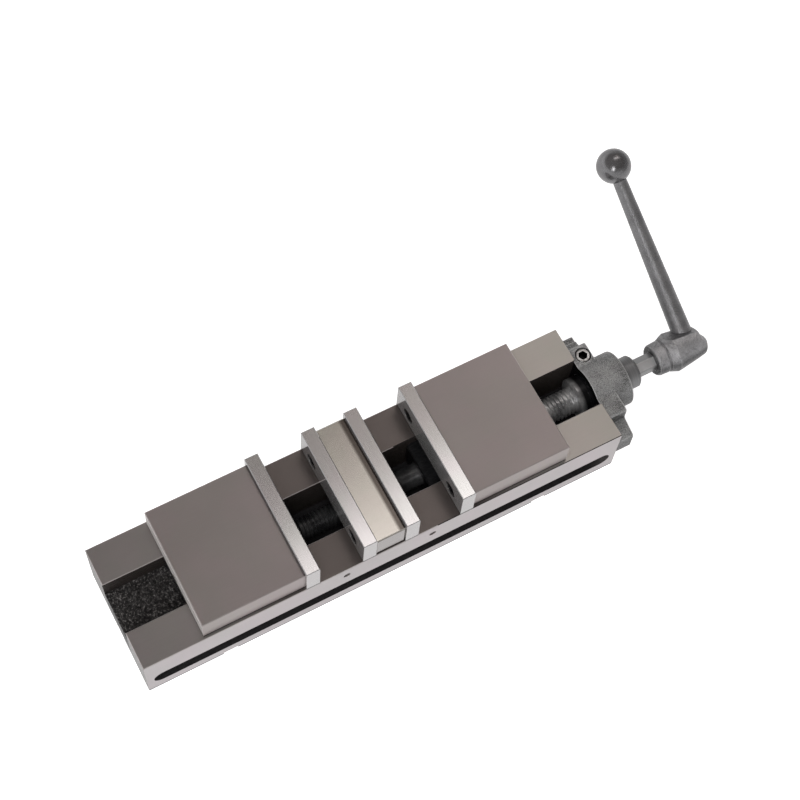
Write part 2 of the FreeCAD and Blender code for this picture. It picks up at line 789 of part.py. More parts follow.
def build_jaw_body(side, rotation):
    """A sliding jaw with a tongue in the channel and a slanted cavity for the nut's hook."""
    body = new_body(f"{side}_jaw_body")
    block = new_sketch(body, "YZ_Plane", jaw_front)
    rectangle(block, -half_jaw, half_jaw, d.bed_height, jaw_top)
    pad(body, block, d.jaw_length)

    tongue = new_sketch(body, "YZ_Plane", jaw_front)
    rectangle(tongue, -half_tongue, half_tongue, tongue_bottom, d.bed_height)
    pad(body, tongue, d.jaw_length)

    front_slant = slant - d.half_ball_stand_off * diagonal
    back_slant = slant + (d.hook_thickness + d.cavity_clearance) * diagonal
    cavity_top = hook_top + d.cavity_clearance
    half_cavity = d.hook_width / 2 + d.cavity_clearance
    cavity = new_sketch(body, "XZ_Plane", half_cavity)
    polygon(cavity, [
        (front_slant - tongue_bottom, tongue_bottom), (back_slant - tongue_bottom, tongue_bottom),
        (back_slant - cavity_top, cavity_top), (front_slant - cavity_top, cavity_top),
    ])
    pocket(body, cavity, 2 * half_cavity)

    seat = body.newObject("PartDesign::SubtractiveSphere", f"{side}_ball_seat")
    seat.Radius = (d.half_ball_radius + d.thread_clearance).number
    seat.setExpression("Radius", (d.half_ball_radius + d.thread_clearance).text)
    place(seat, UPRIGHT, half_ball_x, ZERO, half_ball_z)
    doc.recompute()

    plate_threads = new_sketch(body, "YZ_Plane", jaw_front)
    for end in (-1, 1):
        circle(plate_threads, end * plate_screw_y, plate_screw_z, d.plate_screw_size / 2 + d.thread_clearance)
    pocket(body, plate_threads, d.plate_screw_grip + d.head_clearance, with_normal=True)

    lock_thread = new_sketch(body, "YZ_Plane", jaw_back)
    circle(lock_thread, ZERO, half_ball_z, d.lock_screw_size / 2 + d.thread_clearance)
    pocket(body, lock_thread, jaw_back - lock_screw_tip())

    dressed(body, "Chamfer", d.jaw_chamfer, lambda edge: straight(edge) and lies_at(edge, "z", jaw_top))
    body.Placement = Placement(Vector(), rotation)
    keep(body, f"{side}_jaw_body")


def build_nut(side, rotation, thread_radius):
    """A nut block with a hook that leans forward over the half ball."""
    body = new_body(f"{side}_nut")
    block = new_sketch(body, "XZ_Plane", -half_tongue)
    rectangle(block, nut_start, nut_end, screw_height - d.nut_below_screw, nut_top)
    pad(body, block, 2 * half_tongue)

    back_of_hook = slant + d.hook_thickness * diagonal
    hook = new_sketch(body, "XZ_Plane", -d.hook_width / 2)
    polygon(hook, [
        (slant - nut_top, nut_top), (slant - hook_top, hook_top), (back_of_hook - hook_top, hook_top),
        (back_of_hook - nut_top, nut_top),
    ])
    pad(body, hook, d.hook_width)

    bore = new_sketch(body, "YZ_Plane", nut_end)
    circle(bore, ZERO, screw_height, thread_radius + d.running_clearance)
    pocket(body, bore, d.nut_length)

    dressed(body, "Chamfer", d.nut_chamfer, lambda edge: straight(edge) and lies_at(edge, "x", nut_start))
    body.Placement = Placement(Vector(), rotation)
    keep(body, f"{side}_nut")


# Screw and its bearing

def build_spindle():
    body = new_body("spindle")
    lead = d.thread_lead_in
    groove_radius = journal_radius - d.ring_groove_depth
    groove_end = ring_start + d.ring_thickness
    collar_radius = d.collar_diameter / 2
    outline = new_sketch(body, "XZ_Plane")
    polygon(outline, [
        (-d.left_thread_end, ZERO), (-d.left_thread_end, left_radius - lead),
        (lead - d.left_thread_end, left_radius), (d.right_thread_start - lead, left_radius),
        (d.right_thread_start, right_radius), (collar_start, right_radius),
        (collar_start, collar_radius - d.collar_chamfer), (collar_start + d.collar_chamfer, collar_radius),
        (collar_end, collar_radius), (collar_end, journal_radius), (ring_start, journal_radius),
        (ring_start, groove_radius), (groove_end, groove_radius), (groove_end, journal_radius),
        (hexagon_start, journal_radius), (hexagon_start, ZERO),
    ])
    revolved(body, outline)

    hexagon = new_sketch(body, "YZ_Plane", hexagon_start)
    polygon(hexagon, hexagon_points(d.hexagon_flats))
    pad(body, hexagon, d.hexagon_length)
    place(body, UPRIGHT, z=screw_height)
    keep(body, "spindle")


def build_bearing():
    inner = journal_radius + d.running_clearance
    keep(ring("bearing_shaft_washer", inner, d.race_radius, d.race_thickness, collar_end),
         "bearing_shaft_washer")
    keep(ring("bearing_housing_washer", journal_radius + d.race_clearance, d.race_radius, d.race_thickness,
              rollers_end), "bearing_housing_washer")
    build_cage()
    build_sleeve()

    washer = ring("end_thrust_washer", inner, d.end_bore_radius - d.end_washer_clearance,
                  d.end_washer_thickness, end_bore_floor)
    keep(washer, "end_thrust_washer")

    groove_radius = journal_radius - d.ring_groove_depth
    closed = ring("retaining_ring_closed", groove_radius, groove_radius + d.ring_height, d.ring_thickness,
                  ring_start)
    gap = doc.addObject("Part::Box", "retaining_ring_gap")
    for setting, value in (("Length", d.ring_thickness), ("Width", d.ring_gap), ("Height", journal_radius * 2)):
        setattr(gap, setting, value.number)
        gap.setExpression(setting, value.text)
    place(gap, UPRIGHT, ring_start, -d.ring_gap / 2, screw_height)
    keep(cut("retaining_ring", closed, gap), "retaining_ring")


def build_cage():
    """The roller cage turns on the axis at half the screw's speed."""
    middle = (rollers_start + rollers_end) / 2
    half_cage = d.cage_width / 2
    body = new_body("bearing_cage")
    blank = new_sketch(body, "YZ_Plane", middle - d.cage_thickness / 2)
    circle(blank, ZERO, ZERO, d.roller_circle + half_cage)
    circle(blank, ZERO, ZERO, d.roller_circle - half_cage)
    pad(body, blank, d.cage_thickness)
    window = new_sketch(body, "YZ_Plane", middle + d.cage_thickness / 2)
    half_window = d.roller_radius + 2 * d.roller_clearance
    half_run = d.roller_length / 2 + 2 * d.roller_clearance
    rectangle(window, -half_window, half_window, d.roller_circle - half_run, d.roller_circle + half_run)
    first = pocket(body, window, d.cage_thickness)
    windows = body.newObject("PartDesign::PolarPattern", "bearing_cage_windows")
    windows.Originals = [first]
    windows.Axis = (window, ["N_Axis"])
    windows.Angle = 360
    windows.Occurrences = int(d.roller_count.number)
    windows.setExpression("Occurrences", d.roller_count.text)
    body.Tip = windows
    doc.recompute()
    place(body, UPRIGHT, z=screw_height)
    keep(body, "bearing_cage")

    rollers = []
    count = int(d.roller_count.number)
    inner_end = d.roller_circle - d.roller_length / 2
    for index in range(count):
        angle = 2 * math.pi * index / count
        outwards = Vector(0, math.sin(angle), math.cos(angle))
        y = inner_end * outwards.y
        z = screw_height + inner_end * outwards.z
        rotation = Rotation(Vector(0, 0, 1), outwards)
        rollers.append(cylinder(f"roller_{index}", d.roller_radius, d.roller_length, rotation, middle, y, z))
    keep(group("bearing_rollers", rollers), "bearing_rollers")


def build_sleeve():
    body = new_body("bearing_sleeve")
    bore = journal_radius + d.running_clearance
    outline = new_sketch(body, "XZ_Plane")
    lip = d.end_washer_clearance * 2
    polygon(outline, [
        (sleeve_start, bore), (sleeve_start, d.sleeve_radius),
        (sleeve_end - d.sleeve_chamfer, d.sleeve_radius), (sleeve_end, d.sleeve_radius - d.sleeve_chamfer),
        (sleeve_end, d.end_bore_radius - lip), (sleeve_end - lip, d.end_bore_radius),
        (end_bore_floor, d.end_bore_radius), (end_bore_floor, bore),
    ])
    revolved(body, outline)
    place(body, UPRIGHT, z=screw_height)
    keep(body, "bearing_sleeve")


# Bracket

def build_bracket():
    body = new_body("screw_bracket")
    outer_face = half_length + d.flange_thickness
    wing_bottom = screw_height - d.wing_bottom_drop
    wing_tip_top = screw_height - d.wing_tip_drop
    wing_root_top = screw_height + d.wing_root_rise
    flange = new_sketch(body, "YZ_Plane", half_length)
    polygon(flange, [
        (-d.wing_half_width, wing_bottom), (d.wing_half_width, wing_bottom),
        (d.wing_half_width, wing_tip_top), (d.lug_half_width, wing_root_top),
        (d.lug_half_width, lug_top), (-d.lug_half_width, lug_top),
        (-d.lug_half_width, wing_root_top), (-d.wing_half_width, wing_tip_top),
    ])
    pad(body, flange, d.flange_thickness)
    dressed(body, "Fillet", d.lug_round,
            lambda edge: straight(edge) and near(edge.Length, d.flange_thickness.number))

    housing = new_sketch(body, "YZ_Plane", half_length)
    circle(housing, ZERO, screw_height, d.housing_radius)
    pad(body, housing, d.housing_length)
    dressed(body, "Fillet", d.housing_round, lambda edge: lies_at(edge, "x", housing_end))

    bore = new_sketch(body, "YZ_Plane", housing_end)
    circle(bore, ZERO, screw_height, d.sleeve_radius)
    pocket(body, bore, d.housing_length)
    race_pocket = new_sketch(body, "YZ_Plane", half_length)
    circle(race_pocket, ZERO, screw_height, d.race_radius + d.race_clearance)
    pocket(body, race_pocket, sleeve_start - half_length, with_normal=True)

    shanks = new_sketch(body, "YZ_Plane", outer_face)
    recesses = new_sketch(body, "YZ_Plane", outer_face)
    dowels = new_sketch(body, "YZ_Plane", half_length)
    for side in (-1, 1):
        bolt_y = side * d.bracket_bolt_spacing / 2
        dowel_y = side * d.bracket_dowel_spacing / 2
        circle(shanks, bolt_y, bracket_bolt_z, (d.bracket_bolt_size + d.shank_clearance) / 2)
        circle(recesses, bolt_y, bracket_bolt_z, (d.bracket_bolt_head + d.head_clearance) / 2)
        circle(dowels, dowel_y, bracket_dowel_z, d.bracket_dowel_size / 2 + d.thread_clearance)
    pocket(body, shanks, d.flange_thickness)
    pocket(body, recesses, d.bracket_bolt_size + d.bracket_bolt_recess)
    pocket(body, dowels, d.bracket_dowel_length / 2 + d.thread_clearance, with_normal=True)

    pinch_x = half_length + d.pinch_set_out
    half_slit = d.slit_width / 2
    head_recess = new_sketch(body, "XY_Plane", lug_top)
    circle(head_recess, pinch_x, d.pinch_offset, (d.pinch_screw_head + d.pinch_head_clearance) / 2)
    pocket(body, head_recess, d.pinch_recess + d.pinch_screw_size)
    shank = new_sketch(body, "XY_Plane", lug_top)
    circle(shank, pinch_x, d.pinch_offset, (d.pinch_screw_size + d.shank_clearance) / 2)
    pocket(body, shank, lug_top - screw_height)
    thread = new_sketch(body, "XY_Plane", screw_height)
    circle(thread, pinch_x, d.pinch_offset, d.pinch_screw_size / 2 + d.thread_clearance)
    pocket(body, thread, half_slit + d.pinch_grip + d.shank_clearance)

    slit = new_sketch(body, "YZ_Plane", housing_end)
    rectangle(slit, d.sleeve_radius / 2, d.wing_half_width, screw_height - half_slit, screw_height + half_slit)
    pocket(body, slit, d.housing_length)
    keep(body, "screw_bracket")


def build_bracket_fasteners():
    seat = half_length + d.flange_thickness - d.bracket_bolt_size - d.bracket_bolt_recess
    length = seat - half_length + d.bracket_bolt_grip
    bolts = []
    for index, side in enumerate((-1, 1)):
        bolts.append(cap_screw(f"bracket_bolt_{index}", d.bracket_bolt_size, d.bracket_bolt_head, length,
                               ALONG_X, seat, side * d.bracket_bolt_spacing / 2, bracket_bolt_z))
    keep(group("bracket_bolts", bolts), "bracket_bolts")

    start = half_length - d.bracket_dowel_length / 2
    places = [(start, side * d.bracket_dowel_spacing / 2, bracket_dowel_z) for side in (-1, 1)]
    dowel_pair("bracket_dowels", d.bracket_dowel_size, d.bracket_dowel_length, ALONG_X, places)

    seat = lug_top - d.pinch_recess - d.pinch_screw_size
    length = seat - screw_height + d.slit_width / 2 + d.pinch_grip
    screw = cap_screw("pinch", d.pinch_screw_size, d.pinch_screw_head, length, UPRIGHT,
                      half_length + d.pinch_set_out, d.pinch_offset, seat)
    keep(screw, "bracket_pinch_screw")


# Handle

lever_x = hub_start + d.lever_set_out
foot_height = d.pad_distance / (cosine(d.pad_tilt_angle) * cosine(d.lever_lean_angle - d.pad_turn_angle))


def stand(node, turn):
    """Stand a node, drawn along Z, on the screw's axis under the lever and turn it towards the back."""
    node.Placement = Placement(Vector(lever_x.number, 0, screw_height.number),
                               Rotation(Vector(1, 0, 0), -turn.number))
    node.setExpression("Placement.Base.x", lever_x.text)
    node.setExpression("Placement.Base.z", screw_height.text)
    node.setExpression("Placement.Rotation.Angle", f"-{turn.text} * 1 deg")
    return node


def face_pad(name, node):
    """Tilt a node, drawn with the pad level, along the hub and stand it there."""
    tilted = group(f"{name}_tilted", [node])
    tilted.Placement = Placement(Vector(0, 0, 0), Rotation(Vector(0, 1, 0), d.pad_tilt_angle.number))
    tilted.setExpression("Placement.Rotation.Angle", f"{d.pad_tilt_angle.text} * 1 deg")
    return stand(group(f"{name}_placed", [tilted]), d.pad_turn_angle)


def hub_facets():
    """What is milled off the hub: the space over the pad, and over the slope that starts below its end."""
    body = new_body("hub_facets")
    reach = d.hub_body_radius * 2
    slope = sine(d.nose_slope_angle) / cosine(d.nose_slope_angle)
    nose = d.pad_distance - d.nose_drop
    side = new_sketch(body, "XZ_Plane", -reach)
    polygon(side, [
        (-reach, d.pad_distance), (d.nose_set_out, d.pad_distance), (d.nose_set_out, nose),
        (reach, nose - (reach - d.nose_set_out) * slope), (reach, reach), (-reach, reach),
    ])
    pad(body, side, 2 * reach)
    return face_pad("hub_facets", body)


def build_hub():
    """The cast hub: a neck, a shoulder, a tapering body with a flat pad, and a hexagonal socket."""
    body = new_body("handle_hub")
    neck_end = hub_start + d.hub_neck_length
    shoulder_end = neck_end + d.hub_shoulder_length
    hub_end = hub_start + d.hub_length
    outline = new_sketch(body, "XZ_Plane")
    polygon(outline, [
        (hub_start, ZERO), (hub_start, d.hub_mouth_radius), (neck_end, d.hub_neck_radius),
        (shoulder_end, d.hub_body_radius), (hub_end, d.hub_tip_radius), (hub_end, ZERO),
    ])
    revolved(body, outline)
    dressed(body, "Fillet", d.hub_round, lambda edge: lies_at(edge, "x", hub_end))

    socket = new_sketch(body, "YZ_Plane", hub_start)
    polygon(socket, hexagon_points(d.hexagon_flats + 2 * d.socket_clearance))
    pocket(body, socket, hexagon_end - hub_start + d.socket_clearance, with_normal=True)
    place(body, UPRIGHT, z=screw_height)

    hole = cylinder("lever_hole", d.lever_spigot_radius + d.thread_clearance, d.lever_reach,
                    z=foot_height - d.lever_spigot_depth)
    turned = stand(group("lever_hole_placed", [hole]), d.lever_lean_angle)
    milled = cut("handle_hub_milled", body, hub_facets())
    keep(cut("handle_hub_drilled", milled, turned), "handle_hub")


def build_lever():
    """A tapering round lever whose foot is cut to the hub's pad, with a spigot at each end."""
    knob_foot = d.lever_reach - d.knob_radius * sine(d.knob_flat_angle)
    body = new_body("handle_lever")
    outline = new_sketch(body, "XZ_Plane")
    polygon(outline, [
        (ZERO, ZERO), (d.lever_foot_radius, ZERO), (d.lever_tip_radius, knob_foot), (ZERO, knob_foot),
    ])
    feature = body.newObject("PartDesign::Revolution", "handle_lever_revolution")
    feature.Profile = outline
    feature.ReferenceAxis = (outline, ["V_Axis"])
    feature.Angle = 360
    stand(body, d.lever_lean_angle)
    doc.recompute()

    reach = d.lever_foot_radius * 2
    under = new_body("lever_under_pad")
    below = new_sketch(under, "XY_Plane", d.pad_distance - 2 * reach)
    rectangle(below, -reach, reach, -reach, reach)
    pad(under, below, 2 * reach)
    footed = cut("handle_lever_footed", body, face_pad("lever_under_pad", under))

    low = cylinder("lever_low_spigot", d.lever_spigot_radius, d.lever_spigot_depth + d.lever_foot_radius,
                   z=foot_height - d.lever_spigot_depth)
    high = cylinder("lever_high_spigot", d.knob_spigot_radius, d.knob_spigot_length, z=knob_foot)
    spigots = stand(group("lever_spigots", [low, high]), d.lever_lean_angle)
    keep(fuse("handle_lever_whole", [footed, spigots]), "handle_lever")

    knob = doc.addObject("Part::Sphere", "knob_blank")
    knob.Radius = d.knob_radius.number
    knob.setExpression("Radius", d.knob_radius.text)
    knob.Angle1 = -d.knob_flat_angle.number
    knob.setExpression("Angle1", (-d.knob_flat_angle).text)
    place(knob, UPRIGHT, z=d.lever_reach)
    hole = cylinder("knob_hole", d.knob_spigot_radius + d.thread_clearance,
                    d.knob_spigot_length + d.thread_clearance, z=knob_foot)
    ball = cut("handle_ball_drilled", knob, hole)
    keep(stand(ball, d.lever_lean_angle), "handle_ball")


# The assembly

build_bed()
build_centre_block()
build_centre_fasteners()
build_plate("centre_right_plate", half_centre, False)
build_plate("centre_left_plate", half_centre, False, HALF_TURN)
build_jaw("right", UPRIGHT, right_radius)
build_jaw("left", HALF_TURN, left_radius)
build_spindle()
build_bearing()
build_bracket()
build_bracket_fasteners()
build_hub()
build_lever()
doc.recompute()

# Check every object, then write one file for each sub-part

for item in doc.Objects:
    if "Invalid" in item.State or "Error" in item.State:
        raise RuntimeError(f"{item.Name} failed: {item.State}")
os.makedirs("parts", exist_ok=True)
for label, node in parts.items():
    shape = node.Shape
    if shape.isNull() or not shape.isValid() or not shape.Solids:
        raise RuntimeError(f"{label} has no valid solid")
    shape.exportStep(f"parts/{label}.step")
    box = shape.BoundBox
    print(f"{label:28s} solids {len(shape.Solids):2d} volume {shape.Volume / 1000:9.2f} cm3 "
          f"x {box.XMin:8.2f} {box.XMax:8.2f} y {box.YMin:7.2f} {box.YMax:7.2f} z {box.ZMin:7.2f} {box.ZMax:7.2f}")
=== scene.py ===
import json
import math

import bmesh
import bpy
from mathutils import Matrix, Vector, noise


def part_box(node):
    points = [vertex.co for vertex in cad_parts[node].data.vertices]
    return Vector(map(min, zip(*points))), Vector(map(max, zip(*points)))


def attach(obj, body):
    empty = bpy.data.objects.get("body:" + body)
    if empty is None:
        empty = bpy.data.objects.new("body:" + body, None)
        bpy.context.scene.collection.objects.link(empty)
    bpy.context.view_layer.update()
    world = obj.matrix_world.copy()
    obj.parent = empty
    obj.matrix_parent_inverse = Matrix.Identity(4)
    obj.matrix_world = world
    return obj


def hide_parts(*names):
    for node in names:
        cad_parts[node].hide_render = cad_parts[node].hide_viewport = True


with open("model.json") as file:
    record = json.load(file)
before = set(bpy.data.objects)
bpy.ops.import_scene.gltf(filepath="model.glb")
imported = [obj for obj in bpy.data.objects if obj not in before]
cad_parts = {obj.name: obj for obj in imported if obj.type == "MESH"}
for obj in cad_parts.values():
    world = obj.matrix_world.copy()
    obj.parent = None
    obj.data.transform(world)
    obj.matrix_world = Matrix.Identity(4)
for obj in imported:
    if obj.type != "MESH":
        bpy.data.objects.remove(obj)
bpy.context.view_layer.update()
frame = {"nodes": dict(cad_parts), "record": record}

MM = 0.001
SCREW_HEIGHT = 53 * MM

# Camera, at the photograph's angle

CAMERA_PLACE = Vector((-388.2, -641.4, 1999.2)) * MM
CAMERA_TARGET = Vector((94.41, 78.87, 86.12)) * MM
CAMERA_ROLL = math.radians(6.27)
SENSOR_WIDTH = 36.0
FOCAL_LENGTH = 82.08
CLIP_START = 0.05
CLIP_END = 50.0


def add_camera():
    """A level camera looking at the target, then rolled about its own axis."""
    data = bpy.data.cameras.new("camera")
    data.sensor_width = SENSOR_WIDTH
    data.lens = FOCAL_LENGTH
    data.clip_start = CLIP_START
    data.clip_end = CLIP_END
    camera = bpy.data.objects.new("camera", data)
    bpy.context.collection.objects.link(camera)
    aim = (CAMERA_TARGET - CAMERA_PLACE).to_track_quat("-Z", "Y").to_matrix().to_4x4()
    camera.matrix_world = Matrix.Translation(CAMERA_PLACE) @ aim @ Matrix.Rotation(CAMERA_ROLL, 4, "Z")
    bpy.context.scene.camera = camera


# Short calls for nodes

def shaded(colour, factor):
    """A colour made darker or lighter by a factor."""
    return tuple(factor * part for part in colour)


class Nodes:
    """The nodes of a world or a material. A value is a number, a colour or the output of another node."""

    def __init__(self, owner):
        owner.use_nodes = True
        self.nodes, self.links = owner.node_tree.nodes, owner.node_tree.links

    def feed(self, socket, value):
        """Set a socket to a number or a colour, or link it to another node's output."""
        if isinstance(value, tuple):
            socket.default_value = (*value, 1.0)
        elif isinstance(value, (int, float)):
            socket.default_value = value
        else:
            self.links.new(value, socket)

    def map(self, value, low, high, to_low=0.0, to_high=1.0, shape="LINEAR"):
        node = self.nodes.new("ShaderNodeMapRange")
        node.interpolation_type = shape
        for name, number in (("From Min", low), ("From Max", high), ("To Min", to_low), ("To Max", to_high)):
            node.inputs[name].default_value = number
        self.links.new(value, node.inputs["Value"])
        return node.outputs[0]

    def ramp(self, value, *limits):
        """A map with soft ends."""
        return self.map(value, *limits, shape="SMOOTHSTEP")

    def math(self, operation, *values):
        node = self.nodes.new("ShaderNodeMath")
        node.operation = operation
        for socket, value in zip(node.inputs, values):
            self.feed(socket, value)
        return node.outputs[0]

    def mix(self, factor, first, second, blend="MIX"):
        node = self.nodes.new("ShaderNodeMix")
        node.data_type = "RGBA"
        node.blend_type = blend
        for name, value in (("Factor", factor), ("A", first), ("B", second)):
            self.feed(next(item for item in node.inputs if item.name == name and item.enabled), value)
        return next(item for item in node.outputs if item.enabled)

    def times(self, tone, factor):
        """A colour multiplied by a grey or another colour."""
        return self.mix(1.0, tone, factor, "MULTIPLY")

    def both(self, mask, *others):
        """One where all the masks are one."""
        for other in others:
            mask = self.math("MULTIPLY", mask, other)
        return mask


# Light, floor and surroundings

LIGHT_SIZE = 0.9
LIGHT_TARGET = Vector((0.1, 0, 0.05))
# Name, place, watts, and whether reflections show it
LIGHTS = (
    ("key", (-0.45, -0.6, 2.4), 36, False),
    ("glint", (-0.9, -1.5, 1.9), 12, True),
)


def add_lights():
    for name, place, power, in_reflections in LIGHTS:
        data = bpy.data.lights.new(name, "AREA")
        data.size = LIGHT_SIZE
        data.energy = power
        light = bpy.data.objects.new(name, data)
        bpy.context.collection.objects.link(light)
        light.location = place
        light.rotation_euler = (LIGHT_TARGET - Vector(place)).to_track_quat("-Z", "Y").to_euler()
        light.visible_glossy = in_reflections


WHITE = (1.0, 1.0, 1.0)
CEILING_TINT = (1.0, 0.90, 0.85)
CEILING_COLOUR = shaded(CEILING_TINT, 0.10)
PANEL_COLOUR = shaded((1.0, 0.975, 0.955), 3.5)
# Ramps over the direction's X, Y or Z: where each starts and ends, and its values there if not 0 and 1
HORIZON_ALONG_X = (0.1, 0.7, 0.95, 0.35)
CEILING_OVER_Z = (0.10, 0.62)
SKIRT_ALONG_X = (0.15, 0.37, 0.42, 1.30)
PANEL_X = (0.03, 0.10), (0.60, 0.50)
PANEL_LOWEST_Z = 0.5
SKIRT_Y = (0.10, 0.20), (0.46, 0.36)
PANEL_Y = (0.20, 0.26), (0.313, 0.288)


class Studio(Nodes):
    """The nodes of the world or the floor, from an empty tree."""

    def __init__(self, owner):
        super().__init__(owner)
        self.nodes.clear()

    def band(self, value, rise, fall):
        """One between two ramps."""
        return self.both(self.ramp(value, *rise), self.ramp(value, *fall))

    def rays(self, *kinds):
        """One for the named kinds of ray."""
        ray = self.nodes.new("ShaderNodeLightPath")
        total = ray.outputs[kinds[0]]
        for kind in kinds[1:]:
            total = self.math("MAXIMUM", total, ray.outputs[kind])
        return total


def add_world():
    """A studio: a pale horizon, a grey ceiling, and a bright panel with a dimmer skirt over the vise."""
    world = bpy.data.worlds.new("studio")
    bpy.context.scene.world = world
    tree = Studio(world)
    output = tree.nodes.new("ShaderNodeOutputWorld")
    background = tree.nodes.new("ShaderNodeBackground")
    tree.links.new(background.outputs[0], output.inputs["Surface"])
    place = tree.nodes.new("ShaderNodeTexCoord")
    axes = tree.nodes.new("ShaderNodeSeparateXYZ")
    tree.links.new(place.outputs["Generated"], axes.inputs[0])
    x, y, z = (axes.outputs[name] for name in "XYZ")

    horizon = tree.times(WHITE, tree.ramp(x, *HORIZON_ALONG_X))
    sky = tree.mix(tree.ramp(z, *CEILING_OVER_Z), horizon, CEILING_COLOUR)
    skirt = tree.times(CEILING_TINT, tree.ramp(x, *SKIRT_ALONG_X))
    across = tree.both(tree.band(x, *PANEL_X), tree.math("GREATER_THAN", z, PANEL_LOWEST_Z))
    sky = tree.mix(tree.both(across, tree.band(y, *SKIRT_Y)), sky, skirt)
    sky = tree.mix(tree.both(across, tree.band(y, *PANEL_Y)), sky, PANEL_COLOUR)
    direct = tree.rays("Is Camera Ray", "Is Transmission Ray")
    tree.links.new(tree.mix(direct, sky, WHITE), background.inputs["Color"])


FLOOR_SIZE = 12.0
FLOOR_DROP = 0.2 * MM
FLOOR_COLOUR = (0.66, 0.66, 0.66, 1.0)
FLOOR_GLOW = 0.86
FLOOR_GLOW_REFLECTED = 0.48


def add_floor():
    mesh = bpy.data.meshes.new("floor")
    half = FLOOR_SIZE / 2
    corners = [(-half, -half, 0), (half, -half, 0), (half, half, 0), (-half, half, 0)]
    mesh.from_pydata(corners, [], [(0, 1, 2, 3)])
    floor = bpy.data.objects.new("floor", mesh)
    bpy.context.collection.objects.link(floor)
    floor.location.z = -FLOOR_DROP
    surface = bpy.data.materials.new("floor")
    tree = Studio(surface)
    output = tree.nodes.new("ShaderNodeOutputMaterial")
    total = tree.nodes.new("ShaderNodeAddShader")
    paper = tree.nodes.new("ShaderNodeBsdfDiffuse")
    paper.inputs["Color"].default_value = FLOOR_COLOUR
    glow = tree.nodes.new("ShaderNodeEmission")
    direct = tree.math("MULTIPLY", tree.rays("Is Camera Ray", "Is Transmission Ray"), FLOOR_GLOW)
    reflected = tree.math("MULTIPLY", tree.rays("Is Glossy Ray"), FLOOR_GLOW_REFLECTED)
    tree.links.new(tree.math("ADD", direct, reflected), glow.inputs["Strength"])
    tree.links.new(paper.outputs[0], total.inputs[0])
    tree.links.new(glow.outputs[0], total.inputs[1])
    tree.links.new(total.outputs[0], output.inputs["Surface"])
    mesh.materials.append(surface)


# Materials

ALONG_BED = (1, 0, 0)
ACROSS_BED = (0, 1, 0)
FACING_SHARE = 0.75


class Surface(Nodes):
    """The nodes of a material round one Principled shader."""

    def __init__(self, name, metallic, roughness, anisotropic=0.0):
        self.material = bpy.data.materials.new(name)
        super().__init__(self.material)
        self.shader = next(node for node in self.nodes if node.type == "BSDF_PRINCIPLED")
        self.shader.inputs["Metallic"].default_value = metallic
        self.shader.inputs["Roughness"].default_value = roughness
        self.shader.inputs["Anisotropic"].default_value = anisotropic
        coordinates = self.nodes.new("ShaderNodeTexCoord")
        self.place = coordinates.outputs["Object"]
        self.normal = coordinates.outputs["Normal"]
        self.axes = None
        self.normal_axes = None

    def link(self, source, target):
        self.links.new(source, self.shader.inputs[target])

    def scaled(self, scale):
        """Object coordinates stretched by a factor for each axis."""
        mapping = self.nodes.new("ShaderNodeMapping")
        mapping.inputs["Scale"].default_value = scale
        self.links.new(self.place, mapping.inputs["Vector"])
        return mapping.outputs[0]

    def noise(self, scale, detail=4.0, roughness=0.55, stretch=(1, 1, 1)):
        node = self.nodes.new("ShaderNodeTexNoise")
        node.inputs["Scale"].default_value = scale
        node.inputs["Detail"].default_value = detail
        node.inputs["Roughness"].default_value = roughness
        self.links.new(self.scaled(stretch), node.inputs["Vector"])
        return node.outputs["Fac"]

    def axis(self, name):
        if self.axes is None:
            self.axes = self.nodes.new("ShaderNodeSeparateXYZ")
            self.links.new(self.place, self.axes.inputs[0])
        return self.axes.outputs[name]

    def normal_axis(self, name):
        if self.normal_axes is None:
            self.normal_axes = self.nodes.new("ShaderNodeSeparateXYZ")
            self.links.new(self.normal, self.normal_axes.inputs[0])
        return self.normal_axes.outputs[name]

    def facing(self, name):
        """One on the faces that look along an axis, either way."""
        return self.math("GREATER_THAN", self.math("ABSOLUTE", self.normal_axis(name)), FACING_SHARE)

    def between(self, value, low, high):
        """One where the value lies between the two limits."""
        return self.both(self.math("GREATER_THAN", value, low), self.math("LESS_THAN", value, high))

    def bump(self, *layers):
        """Bump of several (height, distance) layers, one over the other."""
        normal = None
        for height, distance in layers:
            node = self.nodes.new("ShaderNodeBump")
            node.inputs["Distance"].default_value = distance
            self.links.new(height, node.inputs["Height"])
            if normal is not None:
                self.links.new(normal, node.inputs["Normal"])
            normal = node.outputs[0]
        self.link(normal, "Normal")

    def lay(self, direction):
        """Stretch highlights across machining marks that run in the given direction."""
        direction = (direction[1], direction[0], 0.25)
        node = self.nodes.new("ShaderNodeVectorTransform")
        node.vector_type = "VECTOR"
        node.convert_from = "OBJECT"
        node.convert_to = "WORLD"
        node.inputs[0].default_value = direction
        self.link(node.outputs[0], "Tangent")


WARM_FILM = (1.02, 0.985, 0.985)
GREEN_FILM = (0.99, 0.985, 0.965)
GRINDING_STRETCH = 60


def ground_colour(surface, colour, direction, depth):
    """The blotches and fine grinding lines of a ground face, and the lines for its bump."""
    along = tuple(1 if part else GRINDING_STRETCH for part in direction)
    lines = surface.noise(30, 6, 0.7, along)
    patches = surface.noise(9, 3, 0.5)
    dark = shaded(colour, 1 - depth)
    light = tuple(min(1.0, part) for part in shaded(colour, 1 + depth))
    tone = surface.mix(surface.map(patches, 0.35, 0.65), dark, light)
    overlay = surface.mix(surface.map(surface.noise(22, 3, 0.5), 0.40, 0.60), WARM_FILM, GREEN_FILM)
    tone = surface.times(tone, overlay)
    return surface.times(tone, surface.map(lines, 0.3, 0.7, 1 - depth, 1 + depth)), lines


